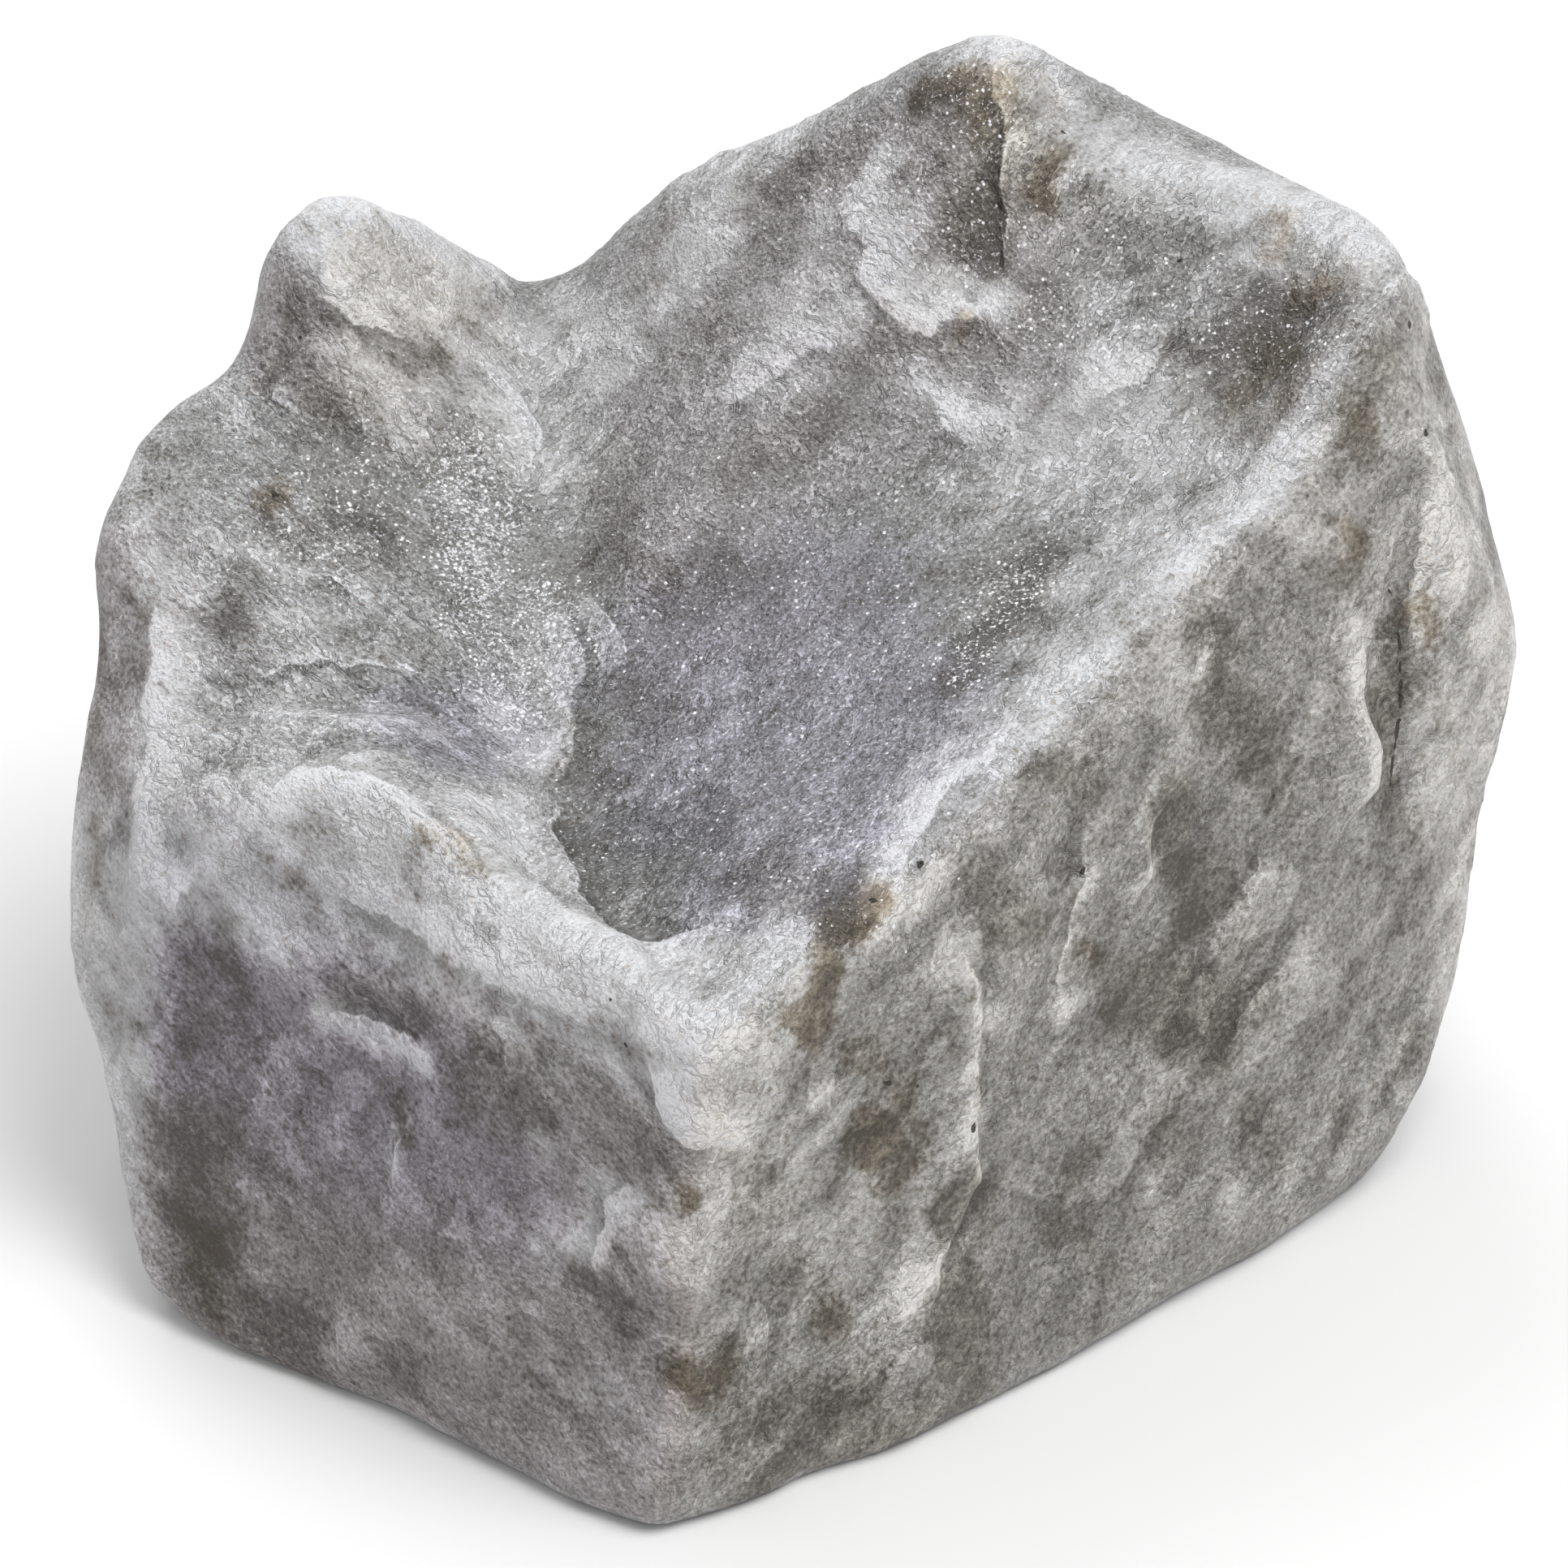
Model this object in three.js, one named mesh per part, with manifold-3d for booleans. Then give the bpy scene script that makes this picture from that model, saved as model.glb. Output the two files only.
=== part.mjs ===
// A raw lump of hackmanite (violet sodalite), about 45 mm long, broken from a larger mass.
// It grew as one piece: two horns at the back, a trough between them that runs down to a
// low front corner, two steep broken walls that meet at a front edge, and a flat foot.
//
// Millimetres, +Z up. The front edge faces -Y and the tall horn stands to the right, at +X.
// The stone is a stack of closed rings of landmark points, stitched to each other, divided
// into small facets, worn at its edges, and cut flat where it rests.

import * as THREE from 'three';
import { ImprovedNoise } from 'three/addons/math/ImprovedNoise.js';
import { mergeVertices } from 'three/addons/utils/BufferGeometryUtils.js';
import Module from 'manifold-3d';

// ---------------------------------------------------------------- driving dimensions (mm)

const FOOT_INSET = 0.91;        // the foot ring is the base ring drawn in by this factor
const FOOT_DEPTH = -0.6;        // height of the foot ring, just below the resting plane
const SUBDIVISIONS = 2;         // times that every facet is divided into four
const WEAR_ROUNDS = 5;          // rounds of smoothing that take the sharpness off the edges
const WEAR_IN = 0.5;            // share of the way to its neighbours that a point moves in
const WEAR_OUT = -0.42;         // and back out, so that the lump keeps its bulk
const UNDULATIONS = [           // broad and narrow unevenness of the broken surface
  { length: 9, height: 0.3 },
  { length: 4, height: 0.16 },
];
const AXIS = { x: -3, y: 1 };    // upright line that every ring runs round
const FRACTURES = [             // flat breaks round the back: facing, and reach from the origin
  { facing: [0.8, 0.58, 0.1], reach: 25.6 },
  { facing: [0.35, 0.92, 0.15], reach: 25.8 },
  { facing: [-0.25, 0.96, -0.15], reach: 18.6 },
  { facing: [-0.62, 0.78, 0.05], reach: 21.8 },
  { facing: [-0.93, 0.35, -0.1], reach: 21 },
  { facing: [0.55, 0.7, -0.45], reach: 15.8 },
  { facing: [-0.45, 0.72, -0.52], reach: 13 },
  { facing: [0.1, 0.75, 0.65], reach: 33.3 },
];
const CUTTER_SIZE = 80;         // side of the block that cuts the foot flat

// The two broken walls are planes. Both hold the front edge, and each its own far foot.
const FRONT_EDGE_FOOT = [-4, -20, 0.5];
const FRONT_EDGE_TOP = [-2.5, -17, 16];
const LEFT_WALL_FAR_FOOT = [-19.5, -8, 1];
const RIGHT_WALL_FAR_FOOT = [17.5, -2.5, 1];

const toVector = ([x, y, z]) => new THREE.Vector3(x, y, z);

// Gives places on a wall: x and height are chosen, y follows from the wall's plane, and the
// place then stands proud of the plane by a little, or lies behind it.
function wallThrough(farFoot) {
  const corners = [FRONT_EDGE_FOOT, farFoot, FRONT_EDGE_TOP].map(toVector);
  const plane = new THREE.Plane().setFromCoplanarPoints(...corners);
  if (plane.normal.y > 0) plane.negate();
  const { normal, constant } = plane;
  return (x, z, proud = 0) => {
    const y = -(constant + normal.x * x + normal.z * z) / normal.y;
    return new THREE.Vector3(x, y, z).addScaledVector(normal, proud).toArray();
  };
}

const left = wallThrough(LEFT_WALL_FAR_FOOT);
const right = wallThrough(RIGHT_WALL_FAR_FOOT);

// ---------------------------------------------------------------- landmark rings
// Each ring runs anticlockwise seen from above and starts at the front edge. In each one
// come the right wall, the right end, the back, the left end and the left wall in turn.

const BASE_RING = [
  [-4, -20.3, 0.5], [-2, -19.2, 0.5], [-0.5, -18.2, 0.5], [1, -16.7, 0.5], [3.5, -15.4, 0.5],
  [6.5, -13.1, 0.5], [9, -11.1, 0.5], [12, -8.2, 1], [15, -5.2, 1], [17, -3.2, 1.2], [20.2, 0, 3],
  [19.5, 7, 1.5], [17, 12, 1], [11, 17, 1], [7, 17, 1], [1, 16, 1], [-6, 15.5, 1], [-10, 15, 1],
  [-17, 10, 1], [-20, 3, 1.5], [-20, -7, 1.5],
  [-19.5, -8.5, 1], [-17.5, -10.2, 0.5], [-14.5, -12.1, 0.5], [-12, -13.5, 0.5],
  [-9, -16.2, 0.5], [-6.5, -18.7, 0.5],
];

const LOW_BELT = [
  [-3, -19, 6], right(0.5, 5, 0.3), right(4.5, 5, 0.5), right(8.5, 5), right(12, 5, 0.3),
  right(15.5, 4, 0.4), right(18.5, 5),
  [21.4, 2.5, 6], [21, 8, 5], [19, 14, 6], [13, 19, 6.5], [9, 20, 6], [2, 18, 5], [-6, 17.5, 5.5],
  [-11, 17.5, 6], [-18, 12.5, 5], [-21, 6, 5.5], [-20.8, -5, 5.5],
  left(-20.4, 4), left(-18, 4), left(-14.5, 4.5, -0.3), left(-11.5, 4.5), left(-8.5, 4.5),
  left(-5.5, 4.5),
];

const MIDDLE_BELT = [
  [-3.5, -18.5, 9.5], right(0.5, 10, 0.3), right(5.5, 11, 1), right(8, 10.5, 0.2), right(12, 11),
  right(16, 11, 0.4), right(18.5, 10), [20, 0.5, 9.7], [21.8, 3, 9], [21.6, 4.5, 12.5],
  [21.5, 9, 10], [21, 14.5, 11.5], [13, 21, 13], [9.5, 22, 11], [1, 19.5, 9.5], [-6.5, 19.5, 10],
  [-10, 20.5, 11], [-19.5, 13, 9.5], [-21.5, 8, 9.5], [-21.9, -3.3, 9], [-21.4, -4.2, 7.5],
  left(-19, 7), left(-15.5, 8, -0.3), left(-12, 8.5), left(-8.5, 9), left(-5.5, 9),
];

const UPPER_BELT = [
  [-3, -18, 12], right(0.5, 14, 0.4), right(4, 15.5, 0.5), right(6, 15, 1.2), right(8, 15.5, 0.4),
  right(11, 17), right(14.5, 17), right(17, 17, 0.4), [18, -1.2, 17], [19, 0.3, 15.5],
  [21, 2, 15.5], [23.1, 5.5, 16], [22, 9.5, 16.5], [20.5, 14.5, 18.5], [15, 20, 20.5],
  [11, 22, 19], [3, 20, 17.5], [-6, 20, 15.5], [-9.5, 20.5, 16], [-18, 14.5, 16], [-21, 8, 15],
  [-22.1, -0.3, 13.2], [-22.2, -1.5, 11.5], [-22.1, -2.5, 10.5],
  left(-20, 9.5), left(-16.5, 10.5, -0.3), left(-13, 11, -0.2), left(-10, 11.5), left(-6.5, 12),
];

const HIGH_BELT = [
  [-2.5, -17.5, 14], [0, -15.5, 16], [2.5, -13, 17.5], [5.5, -10.5, 19], [8, -8, 19.5],
  [11, -4.5, 21], [14, -1, 21.5], [17, 1, 22.7], [18, 1.5, 21], [19.5, 3, 20.7],
  [21, 3.8, 20], [22, 8.5, 18.5], [21.2, 10, 21], [20.2, 10, 25], [18.8, 11.5, 27.7],
  [15, 16, 27.5], [11.5, 18.5, 28], [8.5, 19.5, 27.5], [3.5, 19, 25.5], [-1.5, 19.5, 22.5],
  [-5, 19.5, 20], [-8.5, 19.5, 19.5], [-11.5, 18.5, 21.5], [-14.5, 16.5, 22], [-17, 13.5, 20],
  [-20.2, 10, 19], [-21.3, 5, 19.5], [-21.5, 3, 17.5], [-21.7, 1, 15.5],
  [-20, -4.5, 12.5], [-17.5, -6, 14], [-15.5, -8, 13.5], [-13, -10, 13.5], [-10, -12, 15],
  [-6.5, -14, 15.3], [-4.3, -16, 14.5],
];

const RIM = [
  // front corner and the right-hand ridge up to the shoulder
  [-2.3, -17, 16], [0, -14.5, 17], [2.5, -12, 18], [5.3, -9, 20], [8, -6, 20.5], [10, -4, 22],
  [12, -1.5, 23], [14.5, 1, 24], [16.2, 3, 25], [17.3, 4.5, 26.7], [18.3, 6, 28.3], [19, 8, 28.8],
  // back ridge up to the tall horn
  [17.2, 10, 28.7], [14, 12.5, 28.9], [12, 14, 29], [10.2, 15, 30], [8.8, 15.5, 31.3],
  [7.8, 15.5, 32.5], [5.8, 15, 32.8],
  // skyline down to the saddle
  [4.5, 15.5, 32], [2.3, 16, 30.6], [0.2, 16.5, 29], [-2, 17, 27.6], [-3.5, 17, 26.7],
  [-5, 17, 25.2], [-7, 17, 23.1], [-8.4, 16.5, 22.8],
  // the short horn
  [-9.4, 16, 24.1], [-10.4, 15.5, 25.1], [-11.6, 15, 26.3], [-13.3, 14, 27.6], [-14.5, 13.5, 28.1],
  [-15.4, 13, 27.7], [-16, 12.5, 26.7], [-16.5, 11, 24.7], [-17.3, 10.5, 23.3],
  // left-hand rim
  [-18.8, 9.5, 22.9], [-20.2, 8, 22], [-20.7, 7, 21], [-20.5, 4.5, 20.5], [-19.7, 2.5, 19.3],
  [-19.5, 0.5, 18], [-19.7, -1.5, 16.5], [-20, -3.5, 15],
  // front-left rim back to the front corner
  [-18, -4, 16.5], [-15.5, -5, 17.5], [-13, -5.5, 18.3], [-11, -7, 18.2], [-9, -9, 17.7],
  [-6.5, -12, 17], [-4.5, -14.2, 16.8], [-3.2, -15.8, 16.5],
];

const TROUGH_WALL = [
  [-2, -13.5, 16.5], [1, -10, 18.2], [5, -5, 20.2], [9, -1, 21.6], [12, 3, 23], [14, 6, 25],
  [15, 8.5, 27.2], [12, 10.5, 28], [9, 12, 29.8], [6, 12, 31], [3.5, 12.5, 29.5], [0.5, 13, 27.3],
  [-3, 13, 25], [-5.5, 12.5, 23], [-7.5, 12.5, 22], [-10, 12, 23], [-12, 11.5, 24.6],
  [-14.2, 11, 26], [-14.5, 9.5, 24.3], [-16.3, 8, 22.7], [-18, 5, 21.3], [-18, 2, 19],
  [-17.5, -0.5, 17.2], [-15, -2, 17.8], [-12, -2.5, 18], [-9.7, -5, 17.6], [-7.5, -8.5, 16.3],
  [-5, -10.5, 15.8],
];

const TROUGH_FLOOR = [
  [-4, -7, 16.1], [-0.5, -4.5, 18], [3.5, 0.5, 21.2], [6.5, 4.5, 23.5], [7, 8, 26], [3, 9, 26.6],
  [-1, 9, 24.4], [-4, 8, 22], [-6.5, 7.5, 20.5], [-10, 7, 20.8], [-13, 5, 20.5],
  [-13.5, 1.5, 18.8], [-10, -1, 17.4], [-7, -4, 16.3],
];

const TROUGH_MIDDLE = [-6, 1.5, 18.4];

// ---------------------------------------------------------------- building steps

// Turns round the axis, in radians, of each point of a ring, the first point given twice.
function turnsOf(ring, points) {
  const bearing = (k) => Math.atan2(points[k].x - AXIS.x, AXIS.y - points[k].y);
  const turns = [bearing(ring[0])];
  ring.forEach((point, k) => {
    const step = bearing(ring[(k + 1) % ring.length]) - bearing(point);
    turns.push(turns[k] + Math.atan2(Math.sin(step), Math.cos(step)));
  });
  return turns;
}

// Adds the triangles between two closed rings, going round both at the same pace.
function stitchRings(lower, upper, points, triangles) {
  const lowerTurns = turnsOf(lower, points);
  const upperTurns = turnsOf(upper, points);
  let i = 0;
  let j = 0;
  while (i < lower.length || j < upper.length) {
    const below = lower[i % lower.length];
    const above = upper[j % upper.length];
    const lowerLags = lowerTurns[i] + lowerTurns[i + 1] < upperTurns[j] + upperTurns[j + 1];
    if (j === upper.length || (i < lower.length && lowerLags)) {
      i += 1;
      triangles.push([below, lower[i % lower.length], above]);
    } else {
      j += 1;
      triangles.push([below, upper[j % upper.length], above]);
    }
  }
}

// Closes a ring with a fan of triangles round one point.
function capRing(ring, apex, facesUp, triangles) {
  ring.forEach((point, k) => {
    const next = ring[(k + 1) % ring.length];
    triangles.push(facesUp ? [point, next, apex] : [next, point, apex]);
  });
}

function buildLump(rings, bottom, top) {
  const points = [];
  const triangles = [];
  const addPoint = (landmark) => points.push(toVector(landmark)) - 1;
  const indexed = rings.map((ring) => ring.map(addPoint));
  for (let k = 0; k + 1 < indexed.length; k += 1) {
    stitchRings(indexed[k], indexed[k + 1], points, triangles);
  }
  capRing(indexed[0], addPoint(bottom), false, triangles);
  capRing(indexed.at(-1), addPoint(top), true, triangles);
  return { points, triangles };
}

// Divides every triangle into four at the middles of its edges.
function divide({ points, triangles }) {
  const divided = [...points];
  const middles = new Map();
  const middle = (a, b) => {
    const key = a < b ? `${a},${b}` : `${b},${a}`;
    if (!middles.has(key)) {
      middles.set(key, divided.push(points[a].clone().lerp(points[b], 0.5)) - 1);
    }
    return middles.get(key);
  };
  const quarters = triangles.flatMap(([a, b, c]) => {
    const [ab, bc, ca] = [middle(a, b), middle(b, c), middle(c, a)];
    return [[a, ab, ca], [ab, b, bc], [ca, bc, c], [ab, bc, ca]];
  });
  return { points: divided, triangles: quarters };
}

function neighbours({ points, triangles }) {
  const sets = points.map(() => new Set());
  for (const [a, b, c] of triangles) {
    sets[a].add(b).add(c);
    sets[b].add(c).add(a);
    sets[c].add(a).add(b);
  }
  return sets.map((set) => [...set]);
}

// Breaks the lump off along each fracture: what stands beyond the plane moves back onto it.
function fracture({ points, triangles }) {
  const planes = FRACTURES.map(({ facing, reach }) => (
    new THREE.Plane(toVector(facing).normalize(), -reach)
  ));
  const broken = points.map((point) => planes.reduce((kept, plane) => (
    plane.distanceToPoint(kept) > 0 ? plane.projectPoint(kept, new THREE.Vector3()) : kept
  ), point));
  return { points: broken, triangles };
}

// Rounds the broken edges: every point moves towards its neighbours' middle, then back out.
function wearEdges(lump) {
  const around = neighbours(lump);
  let { points } = lump;
  const relax = (share) => {
    points = points.map((point, k) => {
      const mean = new THREE.Vector3();
      around[k].forEach((n) => mean.add(points[n]));
      return point.clone().lerp(mean.divideScalar(around[k].length), share);
    });
  };
  for (let round = 0; round < WEAR_ROUNDS; round += 1) {
    relax(WEAR_IN);
    relax(WEAR_OUT);
  }
  return { points, triangles: lump.triangles };
}

function toGeometry({ points, triangles }) {
  const geometry = new THREE.BufferGeometry().setFromPoints(points);
  geometry.setIndex(triangles.flat());
  geometry.computeVertexNormals();
  return geometry;
}

// Moves every vertex along its normal by a smooth, repeatable noise.
function undulate(geometry) {
  const noise = new ImprovedNoise();
  const position = geometry.attributes.position;
  const normal = geometry.attributes.normal;
  const point = new THREE.Vector3();
  const outward = new THREE.Vector3();
  for (let k = 0; k < position.count; k += 1) {
    point.fromBufferAttribute(position, k);
    outward.fromBufferAttribute(normal, k);
    const rise = UNDULATIONS.reduce((sum, { length, height }) => {
      const { x, y, z } = point.clone().divideScalar(length);
      return sum + height * noise.noise(x, y, z);
    }, 0);
    point.addScaledVector(outward, rise);
    position.setXYZ(k, point.x, point.y, point.z);
  }
  return geometry;
}

const library = await Module();
library.setup();

function toSolid(geometry) {
  return new library.Manifold(new library.Mesh({
    numProp: 3,
    vertProperties: new Float32Array(geometry.attributes.position.array),
    triVerts: new Uint32Array(geometry.index.array),
  }));
}

function toBufferGeometry(solid) {
  const { vertProperties, triVerts } = solid.getMesh();
  const geometry = new THREE.BufferGeometry();
  geometry.setAttribute('position', new THREE.BufferAttribute(vertProperties, 3));
  geometry.setIndex(new THREE.BufferAttribute(triVerts, 1));
  return geometry;
}

// Takes away all that is below the resting plane, which leaves a flat foot.
function cutFoot(geometry) {
  const cutter = new THREE.BoxGeometry(CUTTER_SIZE, CUTTER_SIZE, CUTTER_SIZE);
  cutter.translate(0, 0, -CUTTER_SIZE / 2);
  cutter.deleteAttribute('normal');
  cutter.deleteAttribute('uv');
  return toBufferGeometry(toSolid(geometry).subtract(toSolid(mergeVertices(cutter))));
}

// Puts the origin at the middle of the bounding box, on the resting plane.
function standOnOrigin(geometry) {
  geometry.computeBoundingBox();
  const { min, max } = geometry.boundingBox;
  geometry.translate(-(min.x + max.x) / 2, -(min.y + max.y) / 2, -min.z);
  return geometry;
}

// ---------------------------------------------------------------- the stone

function makeStone() {
  const footRing = BASE_RING.map(([x, y]) => [x * FOOT_INSET, y * FOOT_INSET, FOOT_DEPTH]);
  const rings = [
    footRing, BASE_RING, LOW_BELT, MIDDLE_BELT, UPPER_BELT, HIGH_BELT, RIM,
    TROUGH_WALL, TROUGH_FLOOR,
  ];
  let lump = buildLump(rings, [0, 0, FOOT_DEPTH], TROUGH_MIDDLE);
  for (let k = 0; k < SUBDIVISIONS; k += 1) lump = divide(lump);
  const worn = toGeometry(wearEdges(fracture(lump)));
  return standOnOrigin(cutFoot(undulate(worn)));
}

const hackmanite = new THREE.MeshStandardMaterial({
  color: 0x9a979b, roughness: 0.55, metalness: 0,
});

const stone = new THREE.Mesh(makeStone(), hackmanite);
stone.name = 'hackmanite';

const group = new THREE.Group();
group.add(stone);

export default group;
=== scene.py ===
"""A raw lump of hackmanite, about 45 mm long, standing on its broken-off foot.

The stone is one piece: pale grey, cloudy and a little waxy, with a violet bloom in the hollow of its
top and on its left wall, dark smoky patches, white worn ridges lit further by painted light and
thin-lipped flake scars. Its glints and the light and shade at its flake lips are painted as well.
Lengths are millimetres on the stone and metres on the stage around it.
"""
import math
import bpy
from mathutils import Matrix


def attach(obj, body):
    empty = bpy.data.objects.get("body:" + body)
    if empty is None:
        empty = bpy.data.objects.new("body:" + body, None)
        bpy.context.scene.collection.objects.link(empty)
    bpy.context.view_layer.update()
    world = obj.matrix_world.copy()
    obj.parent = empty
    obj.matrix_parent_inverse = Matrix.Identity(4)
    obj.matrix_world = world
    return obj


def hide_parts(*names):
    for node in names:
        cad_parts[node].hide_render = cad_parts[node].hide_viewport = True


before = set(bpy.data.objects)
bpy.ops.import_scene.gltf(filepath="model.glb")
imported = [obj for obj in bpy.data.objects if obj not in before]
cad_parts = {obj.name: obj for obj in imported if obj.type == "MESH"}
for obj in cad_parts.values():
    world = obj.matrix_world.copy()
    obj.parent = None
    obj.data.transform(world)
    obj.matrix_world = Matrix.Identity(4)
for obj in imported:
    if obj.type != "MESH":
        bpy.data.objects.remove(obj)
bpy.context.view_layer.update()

from types import SimpleNamespace

import bpy
import numpy as np
from mathutils import Vector

MM = 0.001

# ---------------- sizes of the stone's skin

WELD = 0.01  # corners of the loose triangles closer than this are one corner
GRAIN_SIZE = 0.30  # edge of the small squares the skin is made of
SOFTENING = 0.5  # share of the way to its neighbours that each corner is moved in a round
SOFTENING_ROUNDS = 5
FOOT_BLEND = 1.2  # height over which the relief dies out, so that the foot stays flat

# The stone is layered: its thin sheets face this way on the top, and its streaks run so on the walls.
LAYER_FACING = (0.81, -0.48, -0.34)
RIGHT_STREAKS = (0.57, 0.52, 0.63)
LEFT_STREAKS = (0.71, -0.57, -0.42)

# The way that each part of the skin faces.
FACINGS = {
    "left_wall": (-0.6, -0.79, 0.07),
    "right_wall": (0.62, -0.78, 0.08),
    "upward": (0.0, 0.0, 1.0),
    "hind": (0.1, 0.97, -0.2),
}
FACING_SPAN = (0.45, 0.75)  # how squarely the skin faces that way where the part begins and is full
FACING_ROUNDS = 30  # rounds of blurring before the facing is read

# How far the skin stands proud: name, rounds of blurring, and the height that counts as 1.
PROUD = [
    ("ridge", 60, 0.45),
    ("crest", 8, 0.05),
]

# The broad patterns: name, how far they are drawn out, how fine, how detailed, how rough and how twisted.
BROAD_PATTERNS = [
    ("clouds", 1.6, 0.36, 3.0, 0.6, 0.5),
    ("streaks", 3.0, 0.9, 1.0, 0.6, 0.8),
]

LEFT_PART = (-7.0, -10.0)  # where the top goes over into its left part, streaked like the left wall

FAR_OUT = 60.0  # a distance from the middle that is outside the stone on every side
MISSED_OUT = 15.0  # where the way in misses the stone, a mark is put this far out from its middle

FLAKE_LEVELS = 5.0  # how many flakes lie over each other
SMALL_FLAKE_LEVELS = 7.0
FLAKE_STEP = 0.12
FLAKE_SLOPE = 0.8  # share of each step that the flake slopes back down again
FLAKE_LIP = (0.9, 1.0)  # part of each level in which the skin climbs to the next
FLAKE_PATCHES = (0.42, 0.58)  # where the pattern that lets flakes show begins and is full
LUMP_HEIGHT = 0.55
GRAIN_HEIGHT = 0.08

# How fine the patterns of the relief are, in waves per millimetre.
LUMP_SCALE = 0.24
FLAKE_SCALE = 0.17
FLAKE_PATCH_SCALE = 0.13
GRAIN_SCALE = 1.0
WARP_SCALE = 0.45

WARP = 2.6  # how far the layers are bent out of true
LAYER_STRETCH = 2.0  # how many times wider than thick the lumps and flakes are

MIDDLE_TONE = 0.46
LOW_PART = (2.0, 13.0)  # heights over which the faint shade low on the stone dies out
FOOT_PART = (0.5, 4.0)  # and the deeper shade at its foot

# The stone's greys, from warm and dark to cool and light: the tone that each stands at, and its colour.
SHADES = [
    (0.12, (0.07, 0.067, 0.063, 1)),
    (0.32, (0.15, 0.148, 0.145, 1)),
    (0.5, (0.27, 0.268, 0.266, 1)),
    (0.68, (0.43, 0.43, 0.435, 1)),
    (0.9, (0.68, 0.685, 0.70, 1)),
]

MARK_WANDER = 0.2  # how far the outlines of the marks waver
MARK_CORE = 0.2  # share of its radius in which a mark is at its full strength
MARK_FADE = 1.8  # further radii over which it dies out

LIP_WANDER = 0.1
LIP_WIDTH = 0.2  # distance on each side of a lip in which the skin drops
LIP_REACH = 1.6  # how far from its lip a step is felt, in fades
LIP_TAPER = 1.2  # length over which a lip dies out at each end
LEAST_STEP = 0.2  # share of the step that is left at the ends
LIP_OVERRUN = 0.5  # how far the light of a lip runs on past its ends
LIT_REACH = 3.0  # how far from its lip the light is kept, in fades
NO_LIP = 9.0  # distance across a lip, in fades, that is kept where no lip is near

# ---------------- where the stone is marked

# The sides of the stone that marks are placed on: which way their two measures run, and the way in.
SIDES = {
    "top": ((1.0, 0.0, 0.0), (0.0, 1.0, 0.0), (0.0, 0.0, -1.0)),
    "left wall": ((0.79, -0.61, 0.0), (0.0, 0.0, 1.0), (0.61, 0.79, 0.0)),
    "right wall": ((0.78, 0.62, 0.0), (0.0, 0.0, 1.0), (-0.62, 0.78, 0.0)),
    "left end": ((0.0, -1.0, 0.0), (0.0, 0.0, 1.0), (1.0, 0.0, 0.0)),
    "right end": ((0.0, 1.0, 0.0), (0.0, 0.0, 1.0), (-1.0, 0.0, 0.0)),
}
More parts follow.
